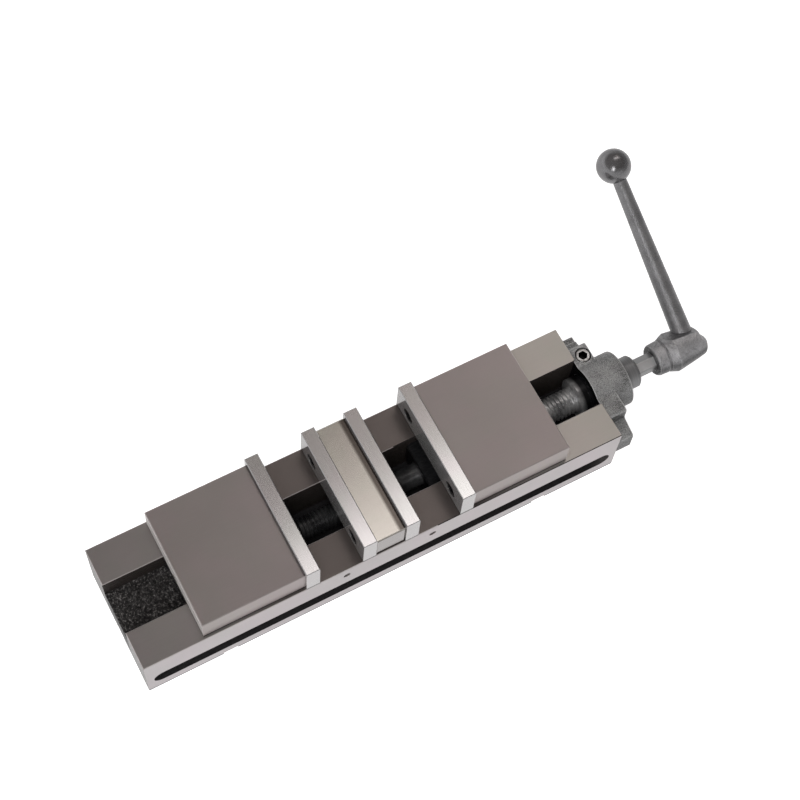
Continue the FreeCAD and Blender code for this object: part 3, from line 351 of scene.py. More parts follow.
METAL_SHARE = 0.85
PAINTED_SHADE_COLOUR = (0.030, 0.028, 0.028)
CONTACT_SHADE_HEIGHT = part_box("bed")[1][2] + 2.4 * MM
PLATE_SHADOW_COLOUR = (0.080, 0.068, 0.060)
PLATE_SHADOW_FADE = 3.5 * MM
JAW_END_COLOUR = (0.84, 0.805, 0.785)
MATT_LESS_METALLIC = 0.55
MATT_MORE_ROUGH = 0.22
ROUGHNESS_SWING = 0.05
FLANK_SMOOTHER = 0.5


def matt_end(surface, mask, tone, metallic, roughness):
    """A milled end face, duller than the ground ones: the colour, metallic and roughness under a mask."""
    surface.link(surface.mix(mask, tone, JAW_END_COLOUR), "Base Color")
    less = surface.math("MULTIPLY", mask, MATT_LESS_METALLIC)
    surface.link(surface.math("SUBTRACT", metallic, less), "Metallic")
    surface.link(surface.math("ADD", roughness, surface.math("MULTIPLY", mask, MATT_MORE_ROUGH)), "Roughness")


def ground_steel(name, colour, roughness, anisotropic, direction, depth=0.05, metallic=1.0, matt_from=None,
                 flanks=None, front_shading=None, scratch=0.02 * MM, joint=None, plate_shadow=None):
    """A ground block with its grinding lines along the direction.

    Its ends are matt beyond the distance matt_from along X. flanks is the metallic share of its faces along
    X, front_shading a painted tint of light and shade for those along Y. Below the height joint its
    sides are painted black as contact shade over the slideways, and from plate_shadow on its top is a brown
    painted shadow and reflection of the plate beside it.
    """
    surface = Surface(name, metallic, roughness, anisotropic)
    tone, lines = ground_colour(surface, colour, direction, depth)
    rough = surface.map(lines, 0.2, 0.8, roughness - ROUGHNESS_SWING, roughness + ROUGHNESS_SWING)
    # Painted light and shade: a tint for the faces along Y.
    if front_shading is not None:
        tone = surface.mix(surface.facing("Y"), tone, surface.times(tone, front_shading))
    # Painted contact shade: the sides black just above the slideways.
    if joint is not None:
        low = surface.both(surface.math("LESS_THAN", surface.axis("Z"), joint),
                           surface.math("SUBTRACT", 1.0, surface.facing("Z")))
        tone = surface.mix(low, tone, PAINTED_SHADE_COLOUR)
    # Painted shadow and reflection of the plate: the top brown next to it.
    if plate_shadow is not None:
        overlay = surface.map(surface.axis("X"), plate_shadow, plate_shadow + PLATE_SHADOW_FADE)
        tone = surface.mix(surface.both(overlay, surface.facing("Z")), tone, PLATE_SHADOW_COLOUR)
    if matt_from is None:
        surface.link(tone, "Base Color")
        if flanks is not None:
            surface.link(surface.map(surface.facing("X"), 0.0, 1.0, metallic, flanks), "Metallic")
            smoother = surface.map(surface.facing("X"), 0.0, 1.0, 1.0, FLANK_SMOOTHER)
            rough = surface.math("MULTIPLY", rough, smoother)
        surface.link(rough, "Roughness")
    else:
        mask = surface.math("GREATER_THAN", surface.math("ABSOLUTE", surface.axis("X")), matt_from)
        if joint is not None:
            mask = surface.both(mask, surface.math("SUBTRACT", 1.0, low))
        matt_end(surface, mask, tone, metallic, rough)
    surface.bump((lines, scratch))
    surface.lay(direction)
    return surface.material


BED_COLOUR = (0.50, 0.470, 0.463)
BED_FRONT_SHADING = (0.99, 1.0, 1.045)
BED_TOP_FROM = 86.3 * MM
# Shade of the top: from X, to X, and the shade at each
BED_TOP_SHADE = (-200 * MM, 220 * MM, 0.68, 1.0)
BED_RIGHT_FADE = (190 * MM, 240 * MM)
BED_RIGHT_TINT = (0.975, 1.0, 0.955)
MIDDLE_SHADE_FADE = (190 * MM, 110 * MM)
MIDDLE_SHADE_COLOUR = (0.185, 0.160, 0.151)
HALF_CHANNEL = 30.4 * MM
CHANNEL_HEIGHTS = (15 * MM, 85.5 * MM)
GROOVE_REACH = (64 * MM, 76 * MM)
GROOVE_HEIGHTS = (19.9 * MM, 44.1 * MM)
GROOVE_HALF_LENGTH = 292.5 * MM
GROOVE_END_FADE = (268 * MM, 288 * MM)
GROOVE_END_LIGHT = (0.075, 0.070, 0.068)
EDGE_MARGIN = 0.1 * MM
RAW_COLOUR = (0.020, 0.019, 0.020)
FLECK_COLOUR = (0.10, 0.10, 0.10)
WALL_COLOUR = (0.040, 0.033, 0.030)
FOOT_HEIGHT = 5.0 * MM
FOOT_SHADE_COLOUR = (0.20, 0.20, 0.205)
BEVEL_HEIGHT = 85.4 * MM
BEVEL_DARK_FROM = 60 * MM
# Limits of the normal's Z and Y on the bevel along the front
BEVEL_SLOPE = (0.4, 0.9)
BEVEL_FRONT = -0.4
BED_END_COLOUR = (0.23, 0.223, 0.219)
BED_END_SHADE = (-70 * MM, 70 * MM, 1.02, 0.76)
DULL_LESS_METALLIC = 0.5
DULL_MORE_ROUGH = 0.18


def bed_surface():
    """Ground outside, black and rough as cast inside the channel and the clamping grooves."""
    surface = Surface("bed_iron", METAL_SHARE, 0.36, 0.7)
    tone, lines = ground_colour(surface, BED_COLOUR, ALONG_BED, 0.03)
    x, y, height = (surface.axis(name) for name in "XYZ")
    away = surface.math("ABSOLUTE", y)
    along = surface.math("ABSOLUTE", x)

    on_top = surface.math("GREATER_THAN", height, BED_TOP_FROM)
    # Painted shade: the top darker towards the left end.
    top_shading = surface.times(tone, surface.map(x, *BED_TOP_SHADE))
    top_shading = surface.mix(surface.map(x, *BED_RIGHT_FADE), top_shading, surface.times(top_shading, BED_RIGHT_TINT))
    tone = surface.mix(on_top, tone, top_shading)
    # Painted shade: the top darker and browner in the middle, between and under the jaws.
    tone = surface.mix(surface.both(on_top, surface.map(along, *MIDDLE_SHADE_FADE)), tone, MIDDLE_SHADE_COLOUR)
    # Painted tint of the light on the faces along Y.
    tone = surface.mix(surface.facing("Y"), tone, surface.times(tone, BED_FRONT_SHADING))
    # Painted shade along the foot of the faces along Y.
    foot = surface.both(surface.math("LESS_THAN", height, FOOT_HEIGHT), surface.facing("Y"))
    tone = surface.mix(foot, tone, FOOT_SHADE_COLOUR)
    # Painted shade: the bevel along the front's top edge black, right of the middle.
    bevel = surface.both(surface.math("GREATER_THAN", height, BEVEL_HEIGHT),
                         surface.between(surface.normal_axis("Z"), *BEVEL_SLOPE),
                         surface.math("GREATER_THAN", x, BEVEL_DARK_FROM),
                         surface.math("LESS_THAN", surface.normal_axis("Y"), BEVEL_FRONT))
    tone = surface.mix(bevel, tone, PAINTED_SHADE_COLOUR)
    end = surface.math("GREATER_THAN", along, -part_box("bed")[0][0] - EDGE_MARGIN)
    tone = surface.mix(end, tone, surface.times(BED_END_COLOUR, surface.map(y, *BED_END_SHADE)))

    in_channel = surface.both(surface.math("LESS_THAN", away, HALF_CHANNEL + EDGE_MARGIN),
                              surface.between(height, *CHANNEL_HEIGHTS))
    in_groove = surface.both(surface.between(away, *GROOVE_REACH), surface.between(height, *GROOVE_HEIGHTS),
                             surface.math("LESS_THAN", along, GROOVE_HALF_LENGTH + EDGE_MARGIN))
    raw = surface.math("MAXIMUM", in_channel, in_groove)
    cast = surface.mix(surface.map(surface.noise(900, 5, 0.65), 0.60, 0.75), RAW_COLOUR, FLECK_COLOUR)
    cast = surface.mix(surface.both(in_channel, surface.facing("Y")), cast, WALL_COLOUR)
    # Painted light: the clamping grooves lighter towards their right end.
    cast = surface.mix(surface.both(in_groove, surface.map(x, *GROOVE_END_FADE)), cast, GROOVE_END_LIGHT)

    surface.link(surface.mix(raw, tone, cast), "Base Color")
    dull = surface.math("MAXIMUM", raw, end)
    less = surface.math("MULTIPLY", dull, DULL_LESS_METALLIC)
    surface.link(surface.math("SUBTRACT", METAL_SHARE, less), "Metallic")
    more = surface.math("MULTIPLY", dull, DULL_MORE_ROUGH)
    surface.link(surface.math("ADD", surface.map(lines, 0.2, 0.8, 0.31, 0.41), more), "Roughness")
    lumps = surface.noise(260, 4, 0.6)
    surface.bump((lines, 0.02 * MM), (surface.both(lumps, raw), 1.6 * MM))
    surface.lay(ALONG_BED)
    return surface.material


def ledge_surface():
    """Wet-looking black casting, its lumps catching the light, the highest ones lighter as painted glints."""
    surface = Surface("ledge_iron", 0.0, 0.5)
    grit = surface.noise(1500, 4, 0.7)
    lumps = surface.noise(470, 5, 0.62)
    tone = surface.mix(surface.map(lumps, 0.42, 0.56), (0.004, 0.0035, 0.0035), (0.032, 0.030, 0.029))
    # Painted glints: the highest lumps lighter.
    tone = surface.mix(surface.map(lumps, 0.56, 0.66), tone, (0.22, 0.21, 0.205))
    surface.link(tone, "Base Color")
    surface.link(surface.map(grit, 0.3, 0.7, 0.42, 0.58), "Roughness")
    surface.bump((lumps, 2.0 * MM), (grit, 0.4 * MM))
    return surface.material


BLACK = (0.006, 0.006, 0.006)
SLIT_HALF_WIDTH = 1.4 * MM
SLIT_REACH = (15 * MM, 48.5 * MM)


def cast_surface(name, colour, light, roughness=0.5, hidden_face=None, side_shade=0.9, top_light=1.12,
                 mouth_shade=1.0, back_shade=1.0, slit=None, metallic=0.55, edge_highlight=1.5, grit=1.0,
                 cloud=0.28, end_shade=1.0):
    """Sand-cast iron under thin paint: a grainy grey with light grains, edges lighter from wear and painted
    highlight, and painted shade in its hollows.

    side_shade and top_light are the painted shade of the upright faces and the painted light of the tops;
    mouth_shade, end_shade and back_shade the painted shade of the faces that look left, right and back. light
    is the colour of the grains, and edge_highlight its factor on the edges, partly wear and partly painted
    highlight. grit is the strength of the grain, cloud that of the broad patches. All left of hidden_face,
    which the bed covers, is black, and a saw cut at the height slit is painted black as shade.
    """
    surface = Surface(name, metallic, roughness)
    grain = surface.noise(1300, 4, 0.7)
    lumps = surface.noise(240, 4, 0.6)
    clouds = surface.noise(45, 3, 0.5)
    tone = surface.mix(surface.map(clouds, 0.38, 0.62), shaded(colour, 1 - cloud), shaded(colour, 1 + cloud))
    tone = surface.mix(surface.map(grain, 0.50, 0.63, 0.0, grit), tone, light)
    tone = surface.mix(surface.map(grain, 0.48, 0.35, 0.0, grit), tone, shaded(colour, 0.22))
    # Painted light and shade: the tops lighter, the upright faces and those that look left, right or back
    # darker.
    for axis, limits in (("Z", (0.35, 0.97, side_shade, top_light)), ("X", (-0.35, -0.85, 1.0, mouth_shade)),
                         ("X", (0.30, 0.80, 1.0, end_shade)), ("Y", (0.30, 0.72, 1.0, back_shade))):
        tone = surface.times(tone, surface.map(surface.normal_axis(axis), *limits))
    # Edges lighter, partly wear and partly painted highlight, and painted shade in the hollows.
    edge = surface.nodes.new("ShaderNodeNewGeometry").outputs["Pointiness"]
    tone = surface.mix(surface.map(edge, 0.508, 0.540), tone, shaded(light, edge_highlight))
    tone = surface.mix(surface.map(edge, 0.494, 0.462), tone, shaded(colour, 0.25))
    # Painted shade: the saw cut black.
    if slit is not None:
        cut = surface.both(surface.between(surface.axis("Z"), slit - SLIT_HALF_WIDTH, slit + SLIT_HALF_WIDTH),
                           surface.between(surface.axis("Y"), *SLIT_REACH))
        tone = surface.mix(cut, tone, BLACK)
    if hidden_face is not None:
        tone = surface.mix(surface.math("LESS_THAN", surface.axis("X"), hidden_face), tone, BLACK)
    surface.link(tone, "Base Color")
    surface.link(surface.map(grain, 0.3, 0.7, roughness + 0.1, roughness - 0.1), "Roughness")
    surface.bump((lumps, 1.0 * MM * grit), (grain, 0.35 * MM * grit))
    return surface.material


TURNING_STRETCH = (1, 0.02, 0.02)
TURNING_BUMP = 0.03 * MM
SCREW_CLEAN_FADE = (55 * MM, 240 * MM)
SCREW_DARK = (0.45, 0.45, 0.46)
SCREW_SHADE = (0.012, 0.012, 0.013)
BARE_COLOUR = (0.92, 0.92, 0.925)
BARE_SHARE = 0.8
COLLAR_SHADE = (-5 * MM, 2 * MM)


def screw_surface(name, left_colour, right_colour, roughness):
    """Turned steel: oily in the bed, black in the bearing's shade, and bare beyond it, with painted shade on
    the bare end's front and back.
    """
    surface = Surface(name, 0.8, roughness, 0.4)
    rings = surface.noise(700, 3, 0.6, TURNING_STRETCH)
    oil = surface.noise(60, 4, 0.6)
    x, normal_y = surface.axis("X"), surface.normal_axis("Y")
    colour = surface.mix(surface.map(x, *SCREW_CLEAN_FADE), left_colour, right_colour)
    dark = surface.times(colour, SCREW_DARK)
    stained = surface.mix(surface.map(oil, 0.4, 0.6), dark, colour)
    stained = surface.mix(surface.map(rings, 0.3, 0.7, 0.0, 0.35), stained, dark)
    bare = surface.math("GREATER_THAN", x, SHADED_END)
    stained = surface.mix(bare, stained, surface.mix(BARE_SHARE, stained, BARE_COLOUR))
    # Painted shade: the bare end darker on its faces that look front or back.
    side_shading = surface.both(surface.map(normal_y, -0.45, -0.80, 1.0, 0.28),
                               surface.map(normal_y, 0.20, 0.60, 1.0, 0.25))
    stained = surface.mix(bare, stained, surface.times(stained, side_shading))
    start, full = (SHADED_COLLAR + offset for offset in COLLAR_SHADE)
    in_shade = surface.both(surface.map(x, start, full), surface.math("LESS_THAN", x, SHADED_END))
    surface.link(surface.mix(in_shade, stained, SCREW_SHADE), "Base Color")
    surface.link(surface.map(oil, 0.35, 0.65, roughness - 0.08, roughness + 0.1), "Roughness")
    surface.bump((rings, TURNING_BUMP))
    return surface.material


def patchy_surface(name, metallic, roughness, texture, wear, dark, light, rough, depth):
    """Metal of two colours in small patches of noise; wear and rough are the limits of colour and roughness."""
    surface = Surface(name, metallic, roughness)
    patches = surface.noise(*texture)
    surface.link(surface.mix(surface.map(patches, *wear), dark, light), "Base Color")
    surface.link(surface.map(patches, 0.3, 0.7, *rough), "Roughness")
    surface.bump((patches, depth))
    return surface.material


def black_surface(name):
    """Black oxide with a trace of bright metal."""
    return patchy_surface(name, 0.6, 0.35, (300, 4, 0.6), (0.55, 0.75), (0.010, 0.010, 0.011),
                          (0.07, 0.07, 0.075), (0.30, 0.45), 0.05 * MM)


def ringed_screw_surface(name, centre, socket, rim):
    """A cap screw worn bright on its head, and painted black as shade in the socket below the centre's height
    and on the side.
    """
    surface = Surface(name, 1.0, 0.32)
    wear = surface.noise(500, 4, 0.6)
    across = surface.math("SUBTRACT", surface.axis("X"), centre[0])
    along = surface.math("SUBTRACT", surface.axis("Y"), centre[1])
    distance = surface.math("SQRT", surface.math("ADD", surface.math("MULTIPLY", across, across),
                                                 surface.math("MULTIPLY", along, along)))
    bright = surface.mix(surface.map(wear, 0.35, 0.65), (0.50, 0.50, 0.50), (0.72, 0.72, 0.71))
    # Painted shade: black in the socket and round the head's side in its recess.
    inside = surface.both(surface.math("LESS_THAN", distance, socket),
                          surface.math("LESS_THAN", surface.axis("Z"), centre[2]))
    dark = surface.math("MAXIMUM", inside, surface.math("GREATER_THAN", distance, rim))
    surface.link(surface.mix(dark, bright, BLACK), "Base Color")
    surface.link(surface.map(wear, 0.3, 0.7, 0.28, 0.42), "Roughness")
    surface.bump((wear, 0.05 * MM))
    return surface.material


JAW_MATT_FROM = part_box("right_jaw_body")[1][0] - 0.1 * MM
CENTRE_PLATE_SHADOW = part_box("centre_block")[1][0] - 9.0 * MM
BRACKET_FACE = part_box("screw_bracket")[0][0] + 0.3 * MM
SHADED_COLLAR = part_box("bearing_shaft_washer")[0][0] - 6.5 * MM
SHADED_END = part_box("bearing_housing_washer")[1][0]
PINCH_LOW, PINCH_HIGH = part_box("bracket_pinch_screw")
PINCH_CENTRE = tuple((PINCH_LOW[axis] + PINCH_HIGH[axis]) / 2 for axis in (0, 1))
PINCH_SUNK = PINCH_HIGH[2] - 0.45 * MM
PINCH_SOCKET_SHADE = 5.8 * MM
PINCH_RIM_SHADE = 8.5 * MM
SURFACES = {
    "bed_iron": bed_surface(),
    "jaw_steel": ground_steel("jaw_steel", (0.372, 0.338, 0.334), 0.36, 0.7, ALONG_BED, 0.03, METAL_SHARE,
                              JAW_MATT_FROM, joint=CONTACT_SHADE_HEIGHT),
    "plate_steel": ground_steel("plate_steel", (0.405, 0.402, 0.405), 0.17, 0.85, ACROSS_BED, 0.02,
                                METAL_SHARE, flanks=0.5, front_shading=(1.08, 1.08, 1.08), scratch=0.006 * MM,
                                joint=CONTACT_SHADE_HEIGHT),
    "cast_grey": cast_surface("cast_grey", (0.215, 0.215, 0.214), (0.48, 0.48, 0.48), 0.44, BRACKET_FACE,
                              side_shade=0.50, top_light=1.30, slit=SCREW_HEIGHT, edge_highlight=1.8, cloud=0.34,
                              end_shade=0.55),
    "handle_iron": cast_surface("handle_iron", (0.235, 0.232, 0.238), (0.40, 0.395, 0.405), 0.36,
                                metallic=0.65, edge_highlight=1.0, grit=0.5, cloud=0.13),
    "turned_steel": screw_surface("turned_steel", (0.10, 0.10, 0.102), (0.75, 0.75, 0.75), 0.35),
    "nut_iron": patchy_surface("nut_iron", 0.6, 0.4, (200, 4, 0.6, (1, 8, 1)), (0.4, 0.7),
                               (0.008, 0.008, 0.009), (0.030, 0.030, 0.032), (0.35, 0.5), 0.1 * MM),
    "bright_steel": ground_steel("bright_steel", (0.62, 0.62, 0.63), 0.25, 0.0, ALONG_BED),
    "bronze": patchy_surface("bronze", 1.0, 0.35, (150, 4, 0.6), (0.35, 0.65), (0.42, 0.27, 0.12),
                             (0.60, 0.42, 0.20), (0.28, 0.42), 0.03 * MM),
    "screw_black": black_surface("screw_black"),
}
CENTRE_STEEL = ground_steel("centre_steel", (0.353, 0.341, 0.314), 0.14, 0.4, ALONG_BED, 0.015, METAL_SHARE,
                            front_shading=(0.80, 0.79, 0.85), scratch=0.004 * MM, joint=CONTACT_SHADE_HEIGHT,
                            plate_shadow=CENTRE_PLATE_SHADOW)
SLEEVE_STEEL = patchy_surface("sleeve_steel", 0.55, 0.45, (500, 3, 0.6, TURNING_STRETCH), (0.35, 0.65),
                              (0.184, 0.184, 0.1864), (0.23, 0.23, 0.233), (0.51, 0.39), TURNING_BUMP)
BEARING_BLACK = black_surface("bearing_black")
PINCH_STEEL = ringed_screw_surface("pinch_steel", (*PINCH_CENTRE, PINCH_SUNK), PINCH_SOCKET_SHADE,
                                   PINCH_RIM_SHADE)
HUB_IRON = cast_surface("hub_iron", (0.195, 0.193, 0.199), (0.56, 0.555, 0.565), 0.30, side_shade=0.36,
                        top_light=2.1, mouth_shade=0.18, back_shade=0.42, metallic=0.65, edge_highlight=1.0,
                        grit=0.85, end_shade=0.55)
BALL_IRON = cast_surface("ball_iron", (0.215, 0.212, 0.218), (0.38, 0.375, 0.385), 0.20, metallic=0.8,
                         edge_highlight=1.0, grit=0.15, cloud=0.20)
OWN_SURFACES = {
    "centre_block": CENTRE_STEEL, "bearing_sleeve": SLEEVE_STEEL, "bracket_pinch_screw": PINCH_STEEL,
    "bearing_shaft_washer": BEARING_BLACK, "bearing_cage": BEARING_BLACK,
    "bearing_housing_washer": BEARING_BLACK, "bearing_rollers": BEARING_BLACK,
}


def dress_nodes():
    """Give each CAD node the surface of its material slot, or one of its own."""
    slots = {entry["node"]: entry["material_slot"] for entry in frame["record"]["subparts"]}
    for name, node in frame["nodes"].items():
        surface = OWN_SURFACES.get(name, SURFACES[slots[name]])
        for material_slot in node.material_slots:
            material_slot.material = surface


# Pieces made here

def add_piece(name, mesh, body, slot, surface, *replaced):
    piece = bpy.data.objects.new(name, mesh)
    bpy.context.collection.objects.link(piece)
    mesh.materials.clear()
    mesh.materials.append(surface)
    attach(piece, body)
    if replaced:
        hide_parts(*replaced)
    return piece


def sharpen(piece, degrees):
    """Smooth shading that keeps edges sharper than the angle."""
    mesh = piece.data
    mesh.shade_smooth()
    mesh.set_sharp_from_angle(angle=math.radians(degrees))


def mesh_of_rings(name, rings):
    """A tube with closed ends through rings of points, each ring with as many points as the others."""
    count = len(rings[0])
    points = [point for ring in rings for point in ring]
    faces = []
    for row in range(len(rings) - 1):
        for column in range(count):
            following = (column + 1) % count
            a = row * count + column
            b = row * count + following
            faces.append((a, b, b + count, a + count))
    faces.append(tuple(reversed(range(count))))
    faces.append(tuple(range((len(rings) - 1) * count, len(rings) * count)))
    mesh = bpy.data.meshes.new(name)
    mesh.from_pydata(points, [], faces)
    mesh.update()
    return mesh


LEAD = 5 * MM
ROWS_PER_LEAD = 12
THREAD_DEPTH = 2.4 * MM
THREAD_CREST, THREAD_FLANK = 0.36, 0.15
SPINDLE_POINTS = 72
LEFT_RADIUS, RIGHT_RADIUS, JOURNAL_RADIUS = 14 * MM, 16 * MM, 12.5 * MM
SPINDLE_CHAMFER = 2 * MM
THREAD_INSET = 0.1 * MM
LEFT_THREAD_STOP = 50 * MM
SHOULDER = 79 * MM
COLLAR_LENGTH = 12.5 * MM
COLLAR_RELIEF = 2 * MM
RING_GROOVE_DEPTH = 0.9 * MM
HEXAGON_LENGTH = 52.5 * MM
HEXAGON_FLATS = 20.6 * MM
HEXAGON_LEAN = math.radians(62)
HEXAGON_CHAMFER = 1.2 * MM
HEXAGON_CORNER_CUT = 0.6 * MM


def thread_depth(turns):
    """How deep a trapezoidal thread lies below its crest, for a place counted in turns."""
    phase = turns % 1.0
    if phase < THREAD_CREST:
        return 0.0
    if phase < THREAD_CREST + THREAD_FLANK:
        return THREAD_DEPTH * (phase - THREAD_CREST) / THREAD_FLANK
    if phase < 1 - THREAD_FLANK:
        return THREAD_DEPTH
    return THREAD_DEPTH * (1 - phase) / THREAD_FLANK


def spindle_ring(x, radius_at):
    """A ring round the screw's axis, its radius a function of the angle."""
    ring = []
    for index in range(SPINDLE_POINTS):
        angle = 2 * math.pi * index / SPINDLE_POINTS
        r = radius_at(angle)
        ring.append((x, r * math.sin(angle), SCREW_HEIGHT + r * math.cos(angle)))
    return ring


def threaded_rows(start, end, radius, hand):
    """Rings along X whose radius follows a screw thread; the thread runs out at both ends."""
    steps = round((end - start) / LEAD * ROWS_PER_LEAD)
    rings = []
    for step in range(steps + 1):
        x = start + (end - start) * step / steps
        fade = min(1.0, (x - start) / LEAD, (end - x) / LEAD)
        rings.append(spindle_ring(
            x, lambda angle: radius - thread_depth(x / LEAD - hand * angle / (2 * math.pi)) * fade))
    return rings


def plain_rows(*profile):
    return [spindle_ring(x, lambda angle: r) for x, r in profile]


def hexagon_end_radius(angle):
    """The radius of the spindle's hexagon in a direction, its corners turned down."""
    off_flat = (angle - HEXAGON_LEAN + math.pi / 6) % (math.pi / 3) - math.pi / 6
    off_corner = math.pi / 6 - abs(off_flat)
    return min((HEXAGON_FLATS / 2) / math.cos(off_corner), JOURNAL_RADIUS - HEXAGON_CORNER_CUT)


def add_spindle():
    """The screw: right-hand thread on the left, left-hand thread on the right, collar, journal and hexagon."""
    low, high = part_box("spindle")
    collar_radius = (high[2] - low[2]) / 2
    collar_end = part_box("bearing_shaft_washer")[0][0]
    collar_start = collar_end - COLLAR_LENGTH
    ring_start, ring_end = (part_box("retaining_ring")[side][0] for side in (0, 1))
    groove_radius = JOURNAL_RADIUS - RING_GROOVE_DEPTH
    hexagon_start = high[0] - HEXAGON_LENGTH
    rows = plain_rows((low[0], LEFT_RADIUS - SPINDLE_CHAMFER), (low[0] + SPINDLE_CHAMFER, LEFT_RADIUS))
    rows += threaded_rows(low[0] + SPINDLE_CHAMFER + THREAD_INSET, LEFT_THREAD_STOP, LEFT_RADIUS, 1)
    rows += plain_rows((SHOULDER - SPINDLE_CHAMFER, LEFT_RADIUS), (SHOULDER, RIGHT_RADIUS))
    rows += threaded_rows(SHOULDER + THREAD_INSET, collar_start - COLLAR_RELIEF, RIGHT_RADIUS, -1)
    rows += plain_rows(
        (collar_start, RIGHT_RADIUS), (collar_start, collar_radius - SPINDLE_CHAMFER),
        (collar_start + SPINDLE_CHAMFER, collar_radius), (collar_end, collar_radius),
        (collar_end, JOURNAL_RADIUS), (ring_start, JOURNAL_RADIUS), (ring_start, groove_radius),
        (ring_end, groove_radius), (ring_end, JOURNAL_RADIUS), (hexagon_start, JOURNAL_RADIUS))
    for x, shrink in ((hexagon_start, 0), (high[0] - HEXAGON_CHAMFER, 0), (high[0], HEXAGON_CHAMFER)):
        rows.append(spindle_ring(x, lambda angle: hexagon_end_radius(angle) - shrink))
    mesh = mesh_of_rings("screw_threaded", rows)
    piece = add_piece("screw_threaded", mesh, "screw", "turned_steel", SURFACES["turned_steel"], "spindle")
    sharpen(piece, 30)


PINCH_POINTS = 144
PINCH_KNURL = 0.30 * MM
PINCH_TIP_CHAMFER = 0.8 * MM
PINCH_SOCKET_CHAMFER = 0.9 * MM
PINCH_HEAD_RADIUS = 9 * MM
PINCH_HEAD_HEIGHT = 12 * MM
PINCH_SHANK_RADIUS = 6 * MM
PINCH_SOCKET_FLATS = 9.6 * MM
PINCH_SOCKET_DEPTH = 6.6 * MM
PINCH_RECESS = 1.2 * MM
PINCH_RECESS_RADIUS = 9.95 * MM
# The head's profile: height from its underside or from its top, how far it lies inside the full radius,
# and the share of the knurl
PINCH_HEAD_FOOT = ((0.0, 0.4 * MM, 0.0), (0.6 * MM, 0.0, 0.0), (0.8 * MM, 0.0, 1.0))
PINCH_HEAD_TOP = ((-1.7 * MM, 0.0, 1.0), (-1.4 * MM, 0.05 * MM, 0.0), (-0.5 * MM, 0.35 * MM, 0.0),
                  (-0.12 * MM, 0.75 * MM, 0.0), (0.0, 1.15 * MM, 0.0))


def hexagon_radius(angle, flats):
    """How far a hexagon's side lies from its middle in a direction."""
    off_flat = angle % (math.pi / 3) - math.pi / 6
    return flats / 2 / math.cos(off_flat)


def add_pinch_screw():
    """A cap screw with a knurled and rounded head and a hexagonal socket."""
    top, bottom = PINCH_HIGH[2], PINCH_LOW[2]
    foot = top - PINCH_HEAD_HEIGHT
    rows = []
    centre_x, centre_y = PINCH_CENTRE

    def ring_at(z, radius_of):
        ring = []
        for index in range(PINCH_POINTS):
            angle = 2 * math.pi * index / PINCH_POINTS
            radius = radius_of(index, angle)
            ring.append((centre_x + radius * math.cos(angle), centre_y + radius * math.sin(angle), z))
        rows.append(ring)

    for z, radius in ((bottom, PINCH_SHANK_RADIUS - PINCH_TIP_CHAMFER),
                      (bottom + PINCH_TIP_CHAMFER, PINCH_SHANK_RADIUS), (foot, PINCH_SHANK_RADIUS)):
        ring_at(z, lambda index, angle: radius)
    for start, profile in ((foot, PINCH_HEAD_FOOT), (top, PINCH_HEAD_TOP)):
        for height, less, share in profile:
            ring_at(start + height, lambda index, angle:
                    PINCH_HEAD_RADIUS - less - PINCH_KNURL * share * (index % 4 in (1, 2)))
    for depth, flats in ((0.0, PINCH_SOCKET_FLATS + PINCH_SOCKET_CHAMFER), (0.5 * MM, PINCH_SOCKET_FLATS),
                         (PINCH_SOCKET_DEPTH, PINCH_SOCKET_FLATS)):
        ring_at(top - depth, lambda index, angle: hexagon_radius(angle, flats))
    mesh = mesh_of_rings("pinch_screw_knurled", rows)
    piece = add_piece("pinch_screw_knurled", mesh, "frame", "screw_black", PINCH_STEEL, "bracket_pinch_screw")
    sharpen(piece, 35)


def round_plug(radius, low, high):
    """A cylinder of the pinch screw's recess, as a helper for adding or cutting."""
    mesh = bpy.data.meshes.new("plug")
    form = bmesh.new()
    place = Matrix.Translation((*PINCH_CENTRE, (low + high) / 2))
    bmesh.ops.create_cone(form, cap_ends=True, segments=96, radius1=radius, radius2=radius, depth=high - low,
                          matrix=place)
    form.to_mesh(mesh)
    form.free()
    plug = bpy.data.objects.new("plug", mesh)
    bpy.context.collection.objects.link(plug)
    return plug


def combined(work, other, operation):
    """Add a helper to a piece or cut it away, and drop the helper."""
    step = work.modifiers.new("combine", "BOOLEAN")
    step.operation = operation
    step.solver = "EXACT"
    step.object = other
    graph = bpy.context.evaluated_depsgraph_get()
    work.data = bpy.data.meshes.new_from_object(work.evaluated_get(graph))
    work.modifiers.clear()
    bpy.data.objects.remove(other)


HUB_TIP_RADIUS = 19.2 * MM
HUB_ROUND_FROM = 18.6 * MM
NOSE_LENGTH = 16 * MM
NOSE_ROUND = 4.5 * MM
CREASE_SET_OUT = 15.5 * MM
CREASE_HALF_WIDTH = 1.8 * MM
CREASE_DEPTH = 0.6 * MM
HUB_MOUTH_RADIUS = 19.6 * MM
MOUTH_LENGTH = 3.6 * MM
MOUTH_ROUND = 2.2 * MM
SMOOTHING = 0.5
SMOOTHING_TURNS = 4
SKIN_COARSE, SKIN_FINE = 160, 520
RECESS_SPARE = 0.35 * MM
RECESS_OVERCUT = 2 * MM


def hub_form(mesh):
    """Dome the hub's free end, and run a shallow crease round its neck."""
    start, end = (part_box("handle_hub")[side][0] for side in (0, 1))
    for vertex in mesh.vertices:
        x = vertex.co.x
        radial = Vector((0, vertex.co.y, vertex.co.z - SCREW_HEIGHT))
        share = max(0.0, (x - end + NOSE_LENGTH) / NOSE_LENGTH)
        vertex.co.x -= NOSE_ROUND * share * (radial.length / HUB_TIP_RADIUS) ** 2
        share = max(0.0, 1 - (x - start) / MOUTH_LENGTH)
        limit = HUB_MOUTH_RADIUS - MOUTH_ROUND * share * share
        if radial.length > limit and share > 0:
            vertex.co -= radial.normalized() * (radial.length - limit)
        off = abs(x - start - CREASE_SET_OUT) / CREASE_HALF_WIDTH
        if off < 1 and radial.length > HUB_ROUND_FROM:
            vertex.co -= radial.normalized() * CREASE_DEPTH * (1 - off * off)


